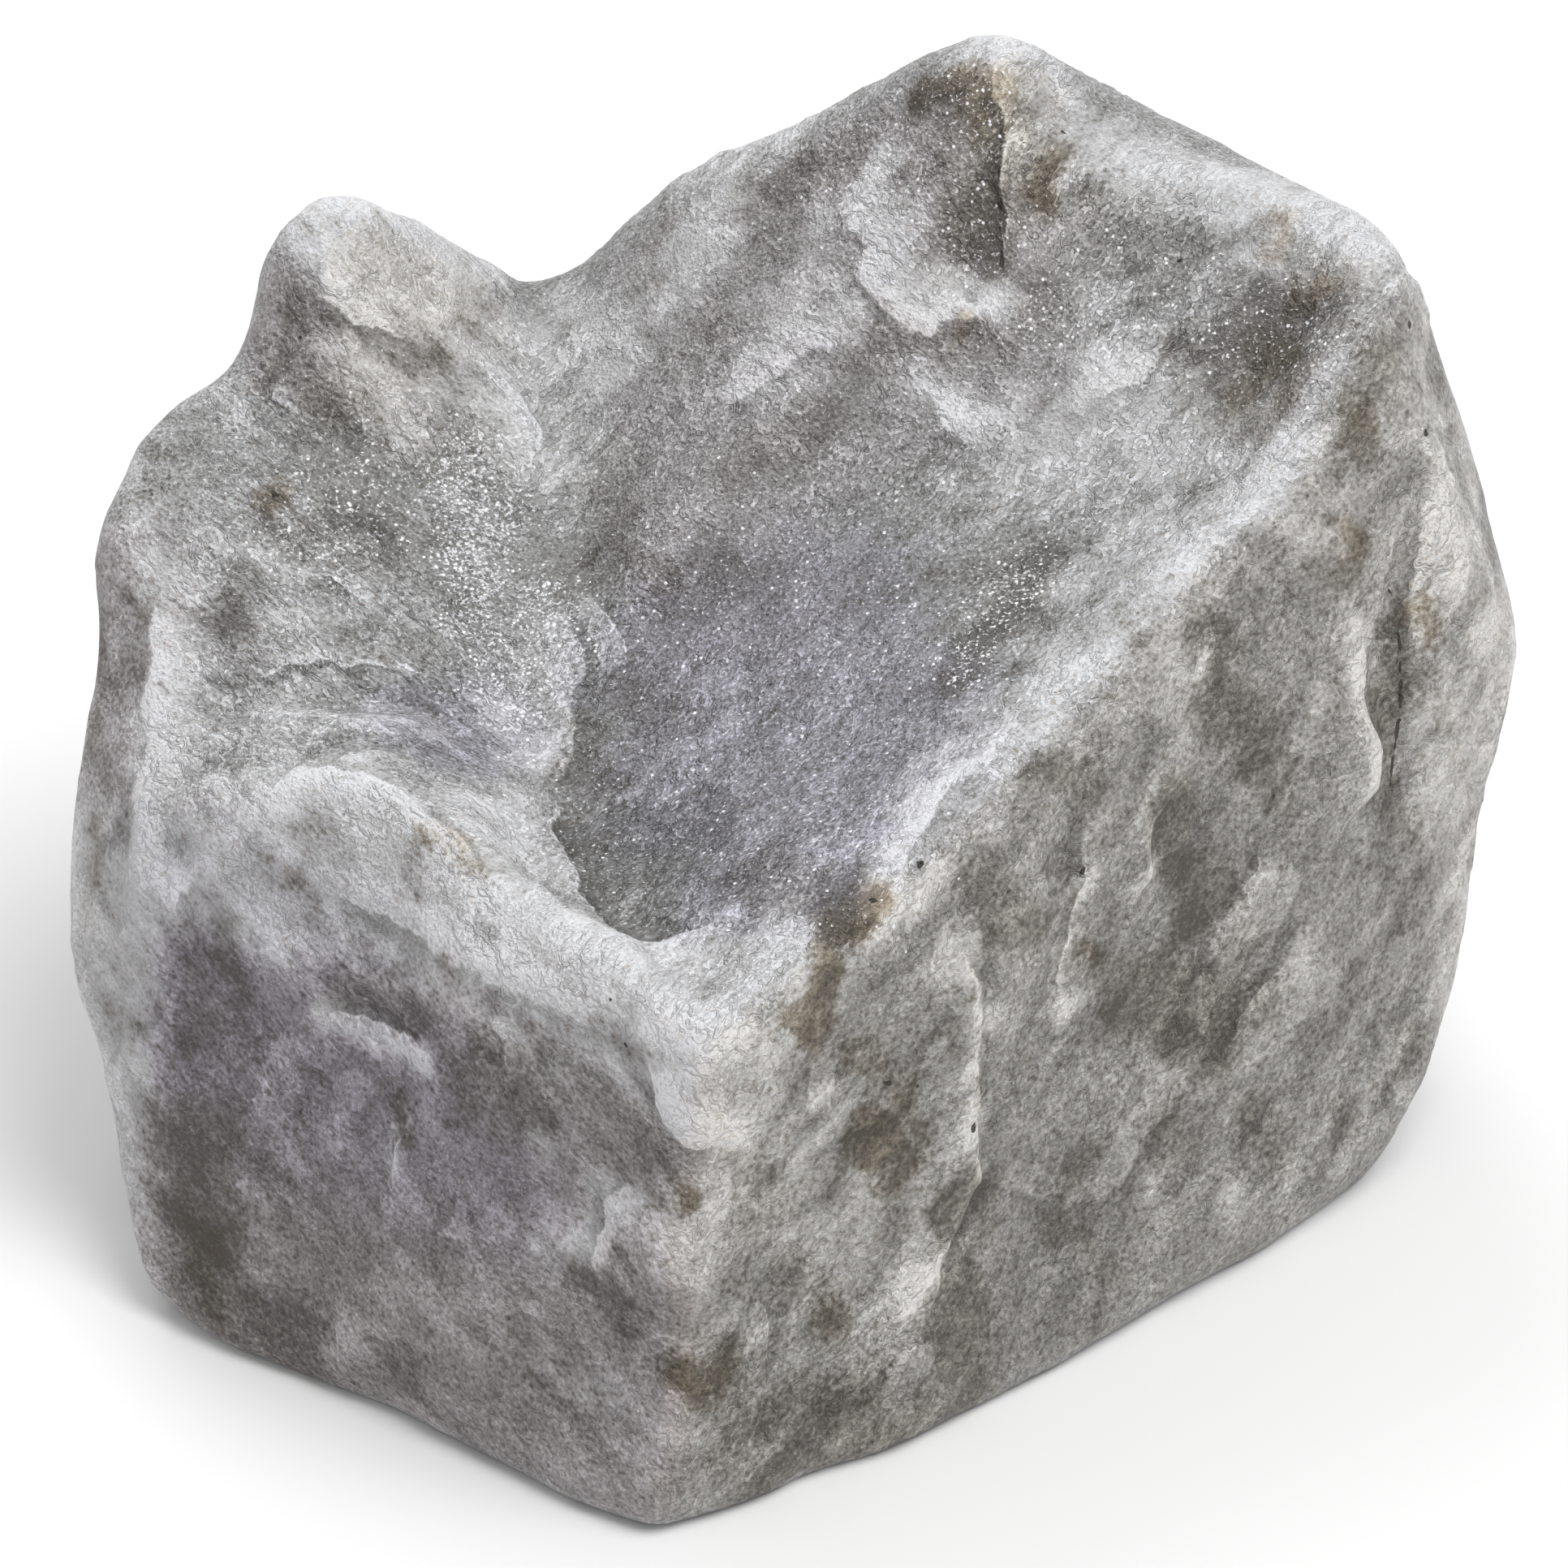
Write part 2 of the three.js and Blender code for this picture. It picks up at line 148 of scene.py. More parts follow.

# Marks in the stone, by the side they lie on: strokes of start, end, radius and strength.
# Smoky patches, where the crystal is clear and dark; a few strokes are painted shade, in the notch's groove
# and above a ledge.
SMOKE_AND_SHADE = {
    "top": [
        # summit
        ((4, 12.5), (6.5, 12.5), 0.7, 1), ((5.8, 11.5), (5.8, 9.6), 1.2, 1.4),
        ((6.3, 10), (6.4, 8.6), 0.5, 1.1), ((4.8, 10.5), (5, 9), 0.7, 0.6),
        ((8, 11), (7.5, 10), 0.6, 0.9), ((9.5, 10.3), (9, 9.8), 0.6, 0.5),
        # right shoulder
        ((13.5, 5.2), (15.8, 6.3), 1.6, 1.2), ((12.5, 5.7), (13.5, 4.3), 1, 1),
        ((15.2, 5.4), (14.2, 3.7), 1.3, 1.3), ((16.2, 5.6), (16.7, 4.6), 0.9, 0.9),
        ((14, 4.2), (15.5, 4.3), 0.8, 0.9), ((16.5, 6.3), (18, 4), 1.1, 0.6),
        ((7.5, 7.5), (9, 7), 1, 0.5), ((11, 8), (12.5, 8.5), 0.9, 0.5),
        # behind the hollow
        ((-5, 12.5), (-4, 14.5), 0.8, 0.4), ((-1.5, 13.5), (1.5, 13), 0.9, 0.6),
        ((-10.5, 11.5), (-8.5, 11.5), 0.4, 0.6), ((5, 6.8), (6.5, 6.5), 0.7, 0.5),
        # left part of the top
        ((-15.5, 9.5), (-16.5, 8), 0.5, 0.7), ((-15, 7.8), (-14, 7.5), 0.8, 0.6),
        ((-14, 4.2), (-13, 3.2), 1.1, 0.7), ((-16, 4), (-15.5, 3.4), 0.7, 0.5),
        ((-17.8, 1.3), (-17, 0.8), 0.7, 0.5), ((-11.2, 4), (-11, 3.6), 0.4, 0.8),
        ((-11, -1), (-11, -3.5), 0.9, 0.45), ((-9.8, -4.5), (-9.6, -5.2), 0.5, 0.6),
        # hollow
        ((-6.5, -2.5), (-6, -5), 0.9, 0.5), ((-5, -1.5), (-3.5, -3), 1, 0.6),
        ((-5, 2.5), (-3.5, 1), 0.9, 0.55), ((-6, 7), (-5.5, 4.5), 0.9, 0.5),
        ((7.4, -0.2), (6.5, -2.6), 0.8, 1.1), ((6, -3), (4.7, -4.8), 0.6, 1.1),
        ((-1, -11.5), (1.3, -13.3), 1.1, 1.3), ((-2, 4.5), (0.5, 5), 1, 0.5),
        ((-2.5, 1.5), (-1, 0.5), 1, 0.45), ((10.2, 1.5), (10.6, 1), 0.6, 0.45),
    ],
    "left end": [
        ((-2, 17.5), (0.5, 15.5), 0.5, 0.8), ((2.5, 13.5), (4, 11), 0.45, 0.8),
    ],
    "left wall": [
        ((-9, 6.5), (-8, 1.5), 1.3, 1.2), ((-6.8, 1.5), (-4.5, 0.8), 1.2, 1.1),
        ((-9.2, 5.3), (-8.5, 4.8), 0.7, 0.7), ((-9, 13), (-8.5, 11), 0.6, 0.7),
        # The second stroke below is painted shade above the ledge on the left wall.
        ((-9.5, 9.8), (-6.5, 9), 1.3, 0.65), ((-4.5, 12.8), (-1.5, 13), 0.8, 0.9),
        ((-5.8, 8.7), (-5.3, 8), 0.6, 0.7), ((-6.7, 7), (-6, 6), 0.8, 0.6),
        ((-1.7, 9.8), (-1.2, 9), 0.5, 0.7), ((0.5, 12.8), (2.5, 12.8), 0.9, 0.7),
        ((1, 11.3), (3, 11.5), 0.9, 0.6), ((8.6, 11.7), (8.9, 11), 0.4, 1),
        ((7.2, 13), (8.2, 10.8), 0.6, 0.6), ((8.4, 10), (8.6, 9), 0.5, 0.6),
        ((6.8, 7.5), (7.5, 6.5), 0.8, 0.8), ((-1.5, 3), (-0.5, 1.5), 0.8, 0.5),
        ((3, 6), (3.5, 5), 0.6, 0.4), ((6, 3.5), (7.5, 2.5), 0.9, 0.35),
    ],
    "right wall": [
        # right wall
        ((4.7, 17), (5, 15), 0.9, 1), ((5.3, 14), (5.5, 12.5), 0.6, 0.9),
        ((3.5, 10.8), (6, 9.5), 1.3, 1.3), ((6.5, 10), (7.8, 9), 0.9, 0.7),
        ((6.3, 14.5), (7, 13), 0.8, 0.5), ((0.2, 4), (1.2, 2.5), 0.6, 0.6),
        ((3.5, 6.5), (4.5, 5), 0.9, 0.5), ((7.3, 5.3), (8.3, 3.5), 0.9, 0.7),
        ((10.5, 4.5), (11.5, 3), 0.8, 0.5), ((-3.6, 7.5), (-3.4, 5.5), 0.5, 0.7),
        ((5, 8.8), (5.8, 8), 0.8, 0.8), ((6.5, 11.5), (7.5, 11), 0.8, 0.5),
        ((7.3, 21.2), (8.5, 20.7), 0.7, 0.8), ((7.5, 19.5), (8.5, 18), 1, 0.8),
        ((8.5, 17), (9.3, 16), 0.8, 0.6), ((-3, 17.5), (-2.5, 16.8), 0.8, 0.75),
        ((-2.5, 16.3), (-1.5, 15.3), 0.8, 0.85), ((0.8, 19.3), (2, 18.8), 0.8, 0.7),
        ((0.6, 13.5), (2, 12.5), 0.7, 0.7), ((-4.6, 7.5), (-4.9, 4.5), 0.8, 0.9),
        ((-5, 4.5), (-5.2, 1.3), 1.1, 1.1), ((0.7, 6.5), (-0.8, 4.5), 0.6, 0.8),
        ((-2.3, 11), (-1.7, 10.3), 0.6, 0.5), ((13, 21.3), (13.8, 21.8), 0.5, 0.8),
        # The two strokes below lie along the notch's groove: partly smoky stone, partly painted shade in
        # the groove.
        ((14.7, 18.6), (14, 16.5), 0.7, 0.95), ((13.8, 16), (13.6, 13.5), 0.5, 0.9),
        ((14, 12.8), (14.6, 12), 0.6, 0.6), ((14, 5.5), (14.3, 4.5), 0.6, 0.5),
        # front corner
        ((-7.3, 12), (-6.8, 10), 0.9, 0.4), ((-12.5, 12), (-11.8, 9.5), 0.9, 0.6),
        ((-7.9, 13.8), (-7.3, 13.2), 0.6, 0.2), ((-10.8, 7.3), (-10, 6.3), 0.9, 0.6),
        ((-14.8, 5.3), (-13.5, 4.8), 0.9, 1), ((-12.5, 3), (-9, 2.3), 1.1, 0.9),
        ((-14, 2.8), (-13, 1.5), 0.8, 0.7), ((-12.5, 1), (-7, 0.8), 1.1, 0.9),
    ],
    "right end": [
        ((0.5, 16), (1, 13.5), 0.6, 0.5),
    ],
}

# Frosted patches, where fine cracks make it white: broad pale areas and whiter ones within them; on the two
# ends they are partly painted light.
FROST_AND_LIGHT = {
    "top": [
        # pale back of the top
        ((6.8, 13.4), (10.5, 12), 1.7, 0.9), ((11, 11.8), (17, 10.8), 1.5, 1),
        ((16.5, 8.8), (18.5, 9.3), 1.6, 0.9), ((18.7, 8), (19.8, 4.5), 1.3, 0.6),
        ((0.5, 9), (3, 8), 1.6, 0.5), ((7, 3.6), (13, 3.3), 1.9, 0.75),
        ((-14.3, 13), (-11, 13.2), 1.9, 1.2), ((-14.5, 11.2), (-10.5, 11.3), 1.5, 1),
        ((-13, 8.8), (-8.5, 9.2), 1.6, 0.7), ((-10.5, 10.5), (-7, 12.5), 1.7, 0.9),
        ((-6, 10.8), (-2.5, 13), 1.5, 1), ((-7.5, 9), (-6.5, 7), 1.2, 0.6),
        ((-3, 14.5), (0, 15.5), 1.3, 0.6), ((14, 11), (17.5, 10), 1.6, 1.4),
        ((15.3, 8.6), (17, 7.3), 1.1, 1.4), ((6.3, 4), (8.5, 3), 1.1, 0.8),
        # pale right rim
        ((14.8, 1.7), (11.8, -1.3), 1.2, 0.85), ((11.5, -2), (9.5, -4.2), 1.2, 0.85),
        ((9, -4.8), (6.5, -7.5), 1, 0.7), ((6, -8), (3.6, -11.5), 0.9, 0.7),
        # pale front of the top
        ((-19.5, 2), (-19.3, -4), 1.3, 0.75), ((-19, -5.7), (-14.5, -7.5), 2, 1.1),
        ((-15, -6.3), (-12, -8.5), 1.7, 1), ((-11, -8.7), (-8.5, -12.5), 1.9, 0.75),
        ((-8, -13), (-4, -15.5), 2, 0.85), ((-3.5, -15.5), (-1, -14.5), 1.5, 0.75),
        ((-9, -7), (-8, -11.5), 1.4, 0.65), ((-17, -2.5), (-12, -3), 1.6, 0.4),
        # summit and skyline
        ((6.5, 14), (8.5, 13.3), 0.9, 1), ((9, 12.7), (11.5, 12), 1, 0.9),
        ((11.5, 11.3), (14.5, 10.3), 0.9, 0.85), ((15.5, 9), (17.5, 9.5), 0.9, 0.9),
        ((16, 8.2), (17, 7.5), 0.7, 0.8), ((18.5, 9.5), (19.5, 7), 0.8, 0.8),
        # flake below the summit
        ((2.7, 11.6), (2.2, 10.4), 0.7, 1), ((2.8, 10), (3, 8.3), 0.9, 1),
        ((3.3, 8), (6, 7.9), 0.8, 1), ((0.5, 11), (1.5, 10.2), 0.7, 0.6),
        ((-1.5, 10), (-0.5, 9.5), 0.9, 0.55), ((-1, 8.3), (2, 8), 0.9, 0.7),
        ((-1.5, 6.8), (0.5, 6.6), 0.7, 0.5), ((4, 5.8), (5.3, 4.8), 0.7, 0.9),
        # right rim
        ((8, 3.8), (10, 5.2), 1.2, 0.95), ((10.5, 3.4), (14, 3.2), 1, 0.9),
        ((12, 2.3), (14.5, 2.5), 0.8, 0.8), ((10, 0.3), (12.5, 1), 0.9, 0.7),
        ((8.5, -1.8), (11, -0.8), 0.9, 0.75), ((7.5, -4.5), (9.5, -3.5), 0.8, 0.65),
        ((5.5, -6.5), (7.3, -5.8), 0.7, 0.6), ((3.5, -8.5), (5.5, -7.5), 0.7, 0.6),
        ((3, -10.2), (3.8, -10), 0.6, 0.8), ((2.5, -13.3), (4, -12.6), 0.8, 0.9),
        # horn
        ((-14.8, 13.5), (-12.5, 13.3), 1.1, 0.9), ((-13.5, 12), (-10.5, 13), 1, 0.75),
        ((-14.3, 11.5), (-13.8, 10.5), 0.5, 0.8), ((-13.5, 10.5), (-12, 10.3), 0.6, 0.6),
        ((-9.5, 11), (-8, 10.8), 0.6, 0.7), ((-16.3, 8.8), (-15.8, 8.2), 0.4, 0.5),
        # left part of the top
        ((-13, 8.7), (-12.3, 7), 0.8, 0.8), ((-11, 8.8), (-8, 9.2), 0.8, 0.5),
        ((-8, 8), (-7.5, 6.5), 0.6, 0.8), ((-9, 7.5), (-8, 6.8), 0.7, 0.6),
        ((-20.5, 6.5), (-20, 4), 0.7, 0.6), ((-19.8, 2.5), (-19.3, -0.5), 0.9, 0.9),
        ((-19, -1), (-19.4, -4), 1, 1), ((-18, 3.2), (-15.5, 2.2), 0.5, 0.6),
        ((-16, 0.7), (-13.5, 1), 0.5, 0.5), ((-15, -1), (-12, -0.8), 0.5, 0.6),
        ((-17, -1.5), (-15.5, -1.3), 0.6, 0.55), ((-9, -2), (-8, -3.8), 0.9, 0.6),
        ((-8.5, -7), (-7.5, -10), 0.9, 0.7),
        # front ridge
        ((-19, -5), (-17, -5.3), 0.9, 0.7), ((-16, -5.7), (-14, -6.2), 1.1, 0.8),
        ((-13.5, -6.5), (-12, -7.8), 1, 0.8), ((-11.8, -8.2), (-10.3, -8.8), 1.1, 0.85),
        ((-9.5, -11), (-7.5, -13), 1.3, 0.9), ((-7.5, -13), (-5, -14.5), 1.3, 1),
        ((-4.5, -16.3), (-2.8, -17.3), 1.2, 1), ((-4, -14.3), (-1, -14.3), 1, 0.8),
    ],
    "left wall": [
        # pale upper edge of the left wall
        ((-13, 13.5), (-7, 15), 1.9, 1), ((-9, 15.5), (-2, 15.3), 1.8, 1),
        ((-2, 15.5), (2, 15.5), 1.4, 0.8), ((-13.3, 12), (-12, 1.5), 1.4, 1.2),
        ((2, 15.5), (8, 15), 1.3, 0.85), ((-12.8, 14), (-12.3, 8), 0.9, 0.5),
        # left wall
        ((-5, 12), (-1, 11.6), 0.6, 0.8), ((-2, 8.3), (-1.3, 9.8), 0.4, 0.6),
        ((6.5, 10.6), (5.7, 8.2), 0.8, 0.7), ((8.3, 14.3), (9.5, 12.7), 0.8, 1),
        ((7, 15.2), (8.5, 14.5), 0.8, 0.9), ((3.3, 11.2), (4, 10.7), 0.5, 0.7),
        ((3.7, 8), (5, 7.6), 0.5, 0.55), ((5.5, 4), (7, 4), 0.6, 0.6),
        ((9.3, 9.3), (9.5, 7), 0.7, 0.5), ((-3.3, 2.2), (-2.8, 0.8), 0.4, 0.5),
    ],
    "right wall": [
        # pale parts of the right wall
        ((13, 22.7), (17, 21.3), 1.9, 0.6), ((18, 20), (19.3, 16), 1.6, 0.9),
        ((16.5, 15), (17, 4), 1.9, 0.8), ((9, 6), (15, 8), 2.5, 0.35),
        ((-13, 13.5), (-12, 8), 2, 0.35), ((-11, 14), (-8, 8), 1.8, 0.55),
        ((13, 3), (15, 7), 1.5, 0.35),
        # right wall
        ((13.3, 19.5), (13.2, 15), 0.7, 0.9), ((12.7, 14.7), (12.2, 13.5), 0.5, 0.7),
        ((6.3, 22.3), (5.8, 19), 0.7, 0.6), ((-3.9, 16.3), (-3.5, 13.5), 0.5, 0.7),
        ((-3.8, 10.2), (-3.8, 8), 0.45, 0.9), ((-5.5, 9), (-5.8, 6.5), 0.7, 0.5),
        ((-6.3, 7), (-6.6, 4.8), 0.6, 0.5), ((-4.7, 15.8), (-4.3, 15), 0.5, 0.8),
        ((-0.2, 14), (0, 11.5), 0.4, 0.7), ((4, 17.2), (4, 14.8), 0.4, 0.7),
        ((4.3, 8.2), (4.8, 7.6), 0.6, 0.7), ((9.5, 10), (10.5, 9), 1, 0.4),
        ((2.5, 5.6), (3.4, 3.6), 0.5, 0.5), ((10.3, 8.8), (12, 7.3), 0.9, 0.6),
        ((5.8, 3.8), (6.3, 2.5), 0.6, 0.5), ((12.5, 12.5), (12.8, 10), 0.6, 0.6),
        ((-6.3, 6.2), (-6.5, 4.6), 0.5, 0.6), ((6.8, 7.5), (7.5, 5), 0.9, 0.35),
        # front corner
        ((-15.3, 15.5), (-14, 14.5), 0.9, 0.8), ((-15.7, 13.8), (-15.3, 13.2), 0.7, 0.5),
        ((-14.5, 10.5), (-14, 8.5), 0.9, 0.5), ((-12, 8.5), (-9, 8.8), 1.1, 0.5),
        ((-8.3, 7), (-8.8, 5.5), 0.7, 0.6),
    ],
    # On the left and right ends these pale strokes are partly frost and partly painted light, where the
    # ends catch the lamps at a graze.
    "left end": [
        ((3.8, 12), (5, 6), 0.6, 0.8), ((5.5, 6), (7, 2), 0.6, 0.6),
        ((2.5, 12), (6, 3), 1.9, 1.2), ((-12, 22), (-12, 17), 1.5, 0.5),
    ],
    "right end": [
        ((3, 19), (5.5, 16), 1.5, 0.8), ((8, 22.5), (6.5, 20.5), 1, 0.8),
        ((2, 12), (3.5, 8), 1, 0.5),
    ],
}

# Violet and brown stains, the smoky bottom of the hollow, and where sugary grains catch painted glints:
# white specks that stand for light glittering off them.
VIOLET = {
    "top": [
        # hollow
        ((-11, -3), (-10, -3), 1.8, 1), ((-3, -1), (1, -1), 3, 0.8),
        ((-2, -5), (2, -6), 3.5, 1), ((0, -9), (2, -8), 3, 1),
        ((4, -4.5), (2.5, -10), 1.6, 0.8), ((-2, -12), (0.5, -12.5), 1.6, 1),
    ],
    "left wall": [
        ((-10, 13), (-4, 13), 2.6, 0.9), ((-9, 10), (-2, 10.5), 2.8, 1),
        ((-7, 8), (2, 9.5), 2.4, 0.6),
    ],
}

STAIN = {
    "right wall": [
        # front corner
        ((-10, 15.6), (-9.4, 15), 0.6, 0.9), ((-8.1, 13.7), (-7.3, 13.3), 0.6, 0.5),
        ((-7.8, 11.2), (-7.5, 10.2), 0.6, 1), ((-6.5, 11.5), (-6.3, 10.5), 0.6, 0.6),
        ((-7.5, 9.5), (-6.5, 9), 0.6, 0.5), ((-13.2, 13.2), (-12.8, 12.8), 0.4, 0.8),
        ((-14.6, 5.2), (-13.8, 4.8), 0.7, 0.9), ((-9.7, 5.3), (-9.3, 4.5), 0.6, 0.6),
        ((-3.8, 11.3), (-3.7, 10.3), 0.35, 0.8), ((1, 13.6), (1.4, 13.3), 0.4, 0.8),
        ((15.7, 19.3), (16.2, 18.6), 0.5, 0.7), ((13.3, 22.5), (13.6, 22), 0.5, 0.7),
    ],
    "top": [
        ((5, 12.5), (6.3, 12.3), 0.6, 0.9), ((3.9, 12.7), (4.3, 12.5), 0.4, 0.8),
        ((5.6, 11.8), (5.9, 11), 0.6, 0.8), ((8, 10.8), (7.7, 10.1), 0.6, 0.9),
        ((15.3, 6.9), (16, 6.6), 0.5, 0.9), ((15, 9.2), (15, 8.5), 0.5, 0.6),
        ((13.8, 4.6), (14.8, 5.3), 0.8, 0.7), ((5, 7.3), (5.1, 6.9), 0.35, 0.8),
        ((1.3, -14), (2.2, -13.6), 0.7, 1), ((0.5, -15.8), (0.9, -15.2), 0.5, 0.9),
        ((15.1, 3.7), (15.2, 3.2), 0.4, 0.7), ((17.3, 3), (17, 2.5), 0.6, 0.6),
        ((-16.4, 4.5), (-16, 4.7), 0.5, 1), ((-10.8, -9), (-9.3, -10.8), 0.6, 0.45),
    ],
    "left wall": [
        ((-8.5, 3), (-7.5, 1.5), 0.9, 0.6), ((8.6, 11.5), (8.9, 11), 0.35, 0.8),
        ((-1.5, 9.7), (-1.2, 9.2), 0.35, 0.5),
    ],
}

POCKET = {
    "top": [
        # bottom of the hollow
        ((-5.5, -8), (-5, -11), 2, 1), ((-3.5, -8), (-3.7, -10.5), 1.8, 1),
    ],
}

# Painted glints: where white specks, standing for light glittering off sugary grains, are painted on the
# top.
PAINTED_GLINT_ZONES = {
    "top": [
        # left of the hollow
        ((-10.3, 6.5), (-9.5, 4.5), 1.1, 1.1), ((-10.3, 4.8), (-9.8, 2), 1, 1.1),
        ((-9.8, 1), (-8.6, -1.5), 0.9, 1), ((-8, 2), (-7, 0.5), 0.9, 0.8),
        ((-7.3, 2), (-7, 0.5), 1, 0.6), ((-15, 3), (-13, 5.5), 1.6, 0.5),
        # hollow
        ((-5, -7), (0, -9), 3.5, 0.2), ((-1, 0), (2, -4), 4, 0.2),
        ((7, -0.5), (5, -4.5), 1, 0.7),
        # summit and shoulder
        ((5.5, 12), (5.5, 9.3), 1.1, 0.5), ((2, 12.5), (4, 10.5), 1.5, 0.3),
        ((13.5, 6.5), (16, 4.5), 1.5, 0.35), ((7.5, 6.5), (10, 7.5), 1.8, 0.3),
    ],
}

MARKS = {"smoke": SMOKE_AND_SHADE, "violet": VIOLET, "stain": STAIN, "frost": FROST_AND_LIGHT, "sugar": PAINTED_GLINT_ZONES, "pocket": POCKET}

# Marks with ragged edges: the strength at which each begins and is full, and how far the stone's own
# patterns strengthen or weaken it.
MARK_EDGES = [
    ("smoke", 0.1, 1.0, -0.7),
    ("frost", 0.0, 1.0, 0.9),
    ("violet", 0.0, 0.8, 0.3),
    ("stain", 0.15, 0.85, -1.3),
    ("pocket", 0.38, 0.48, 0.3),
]
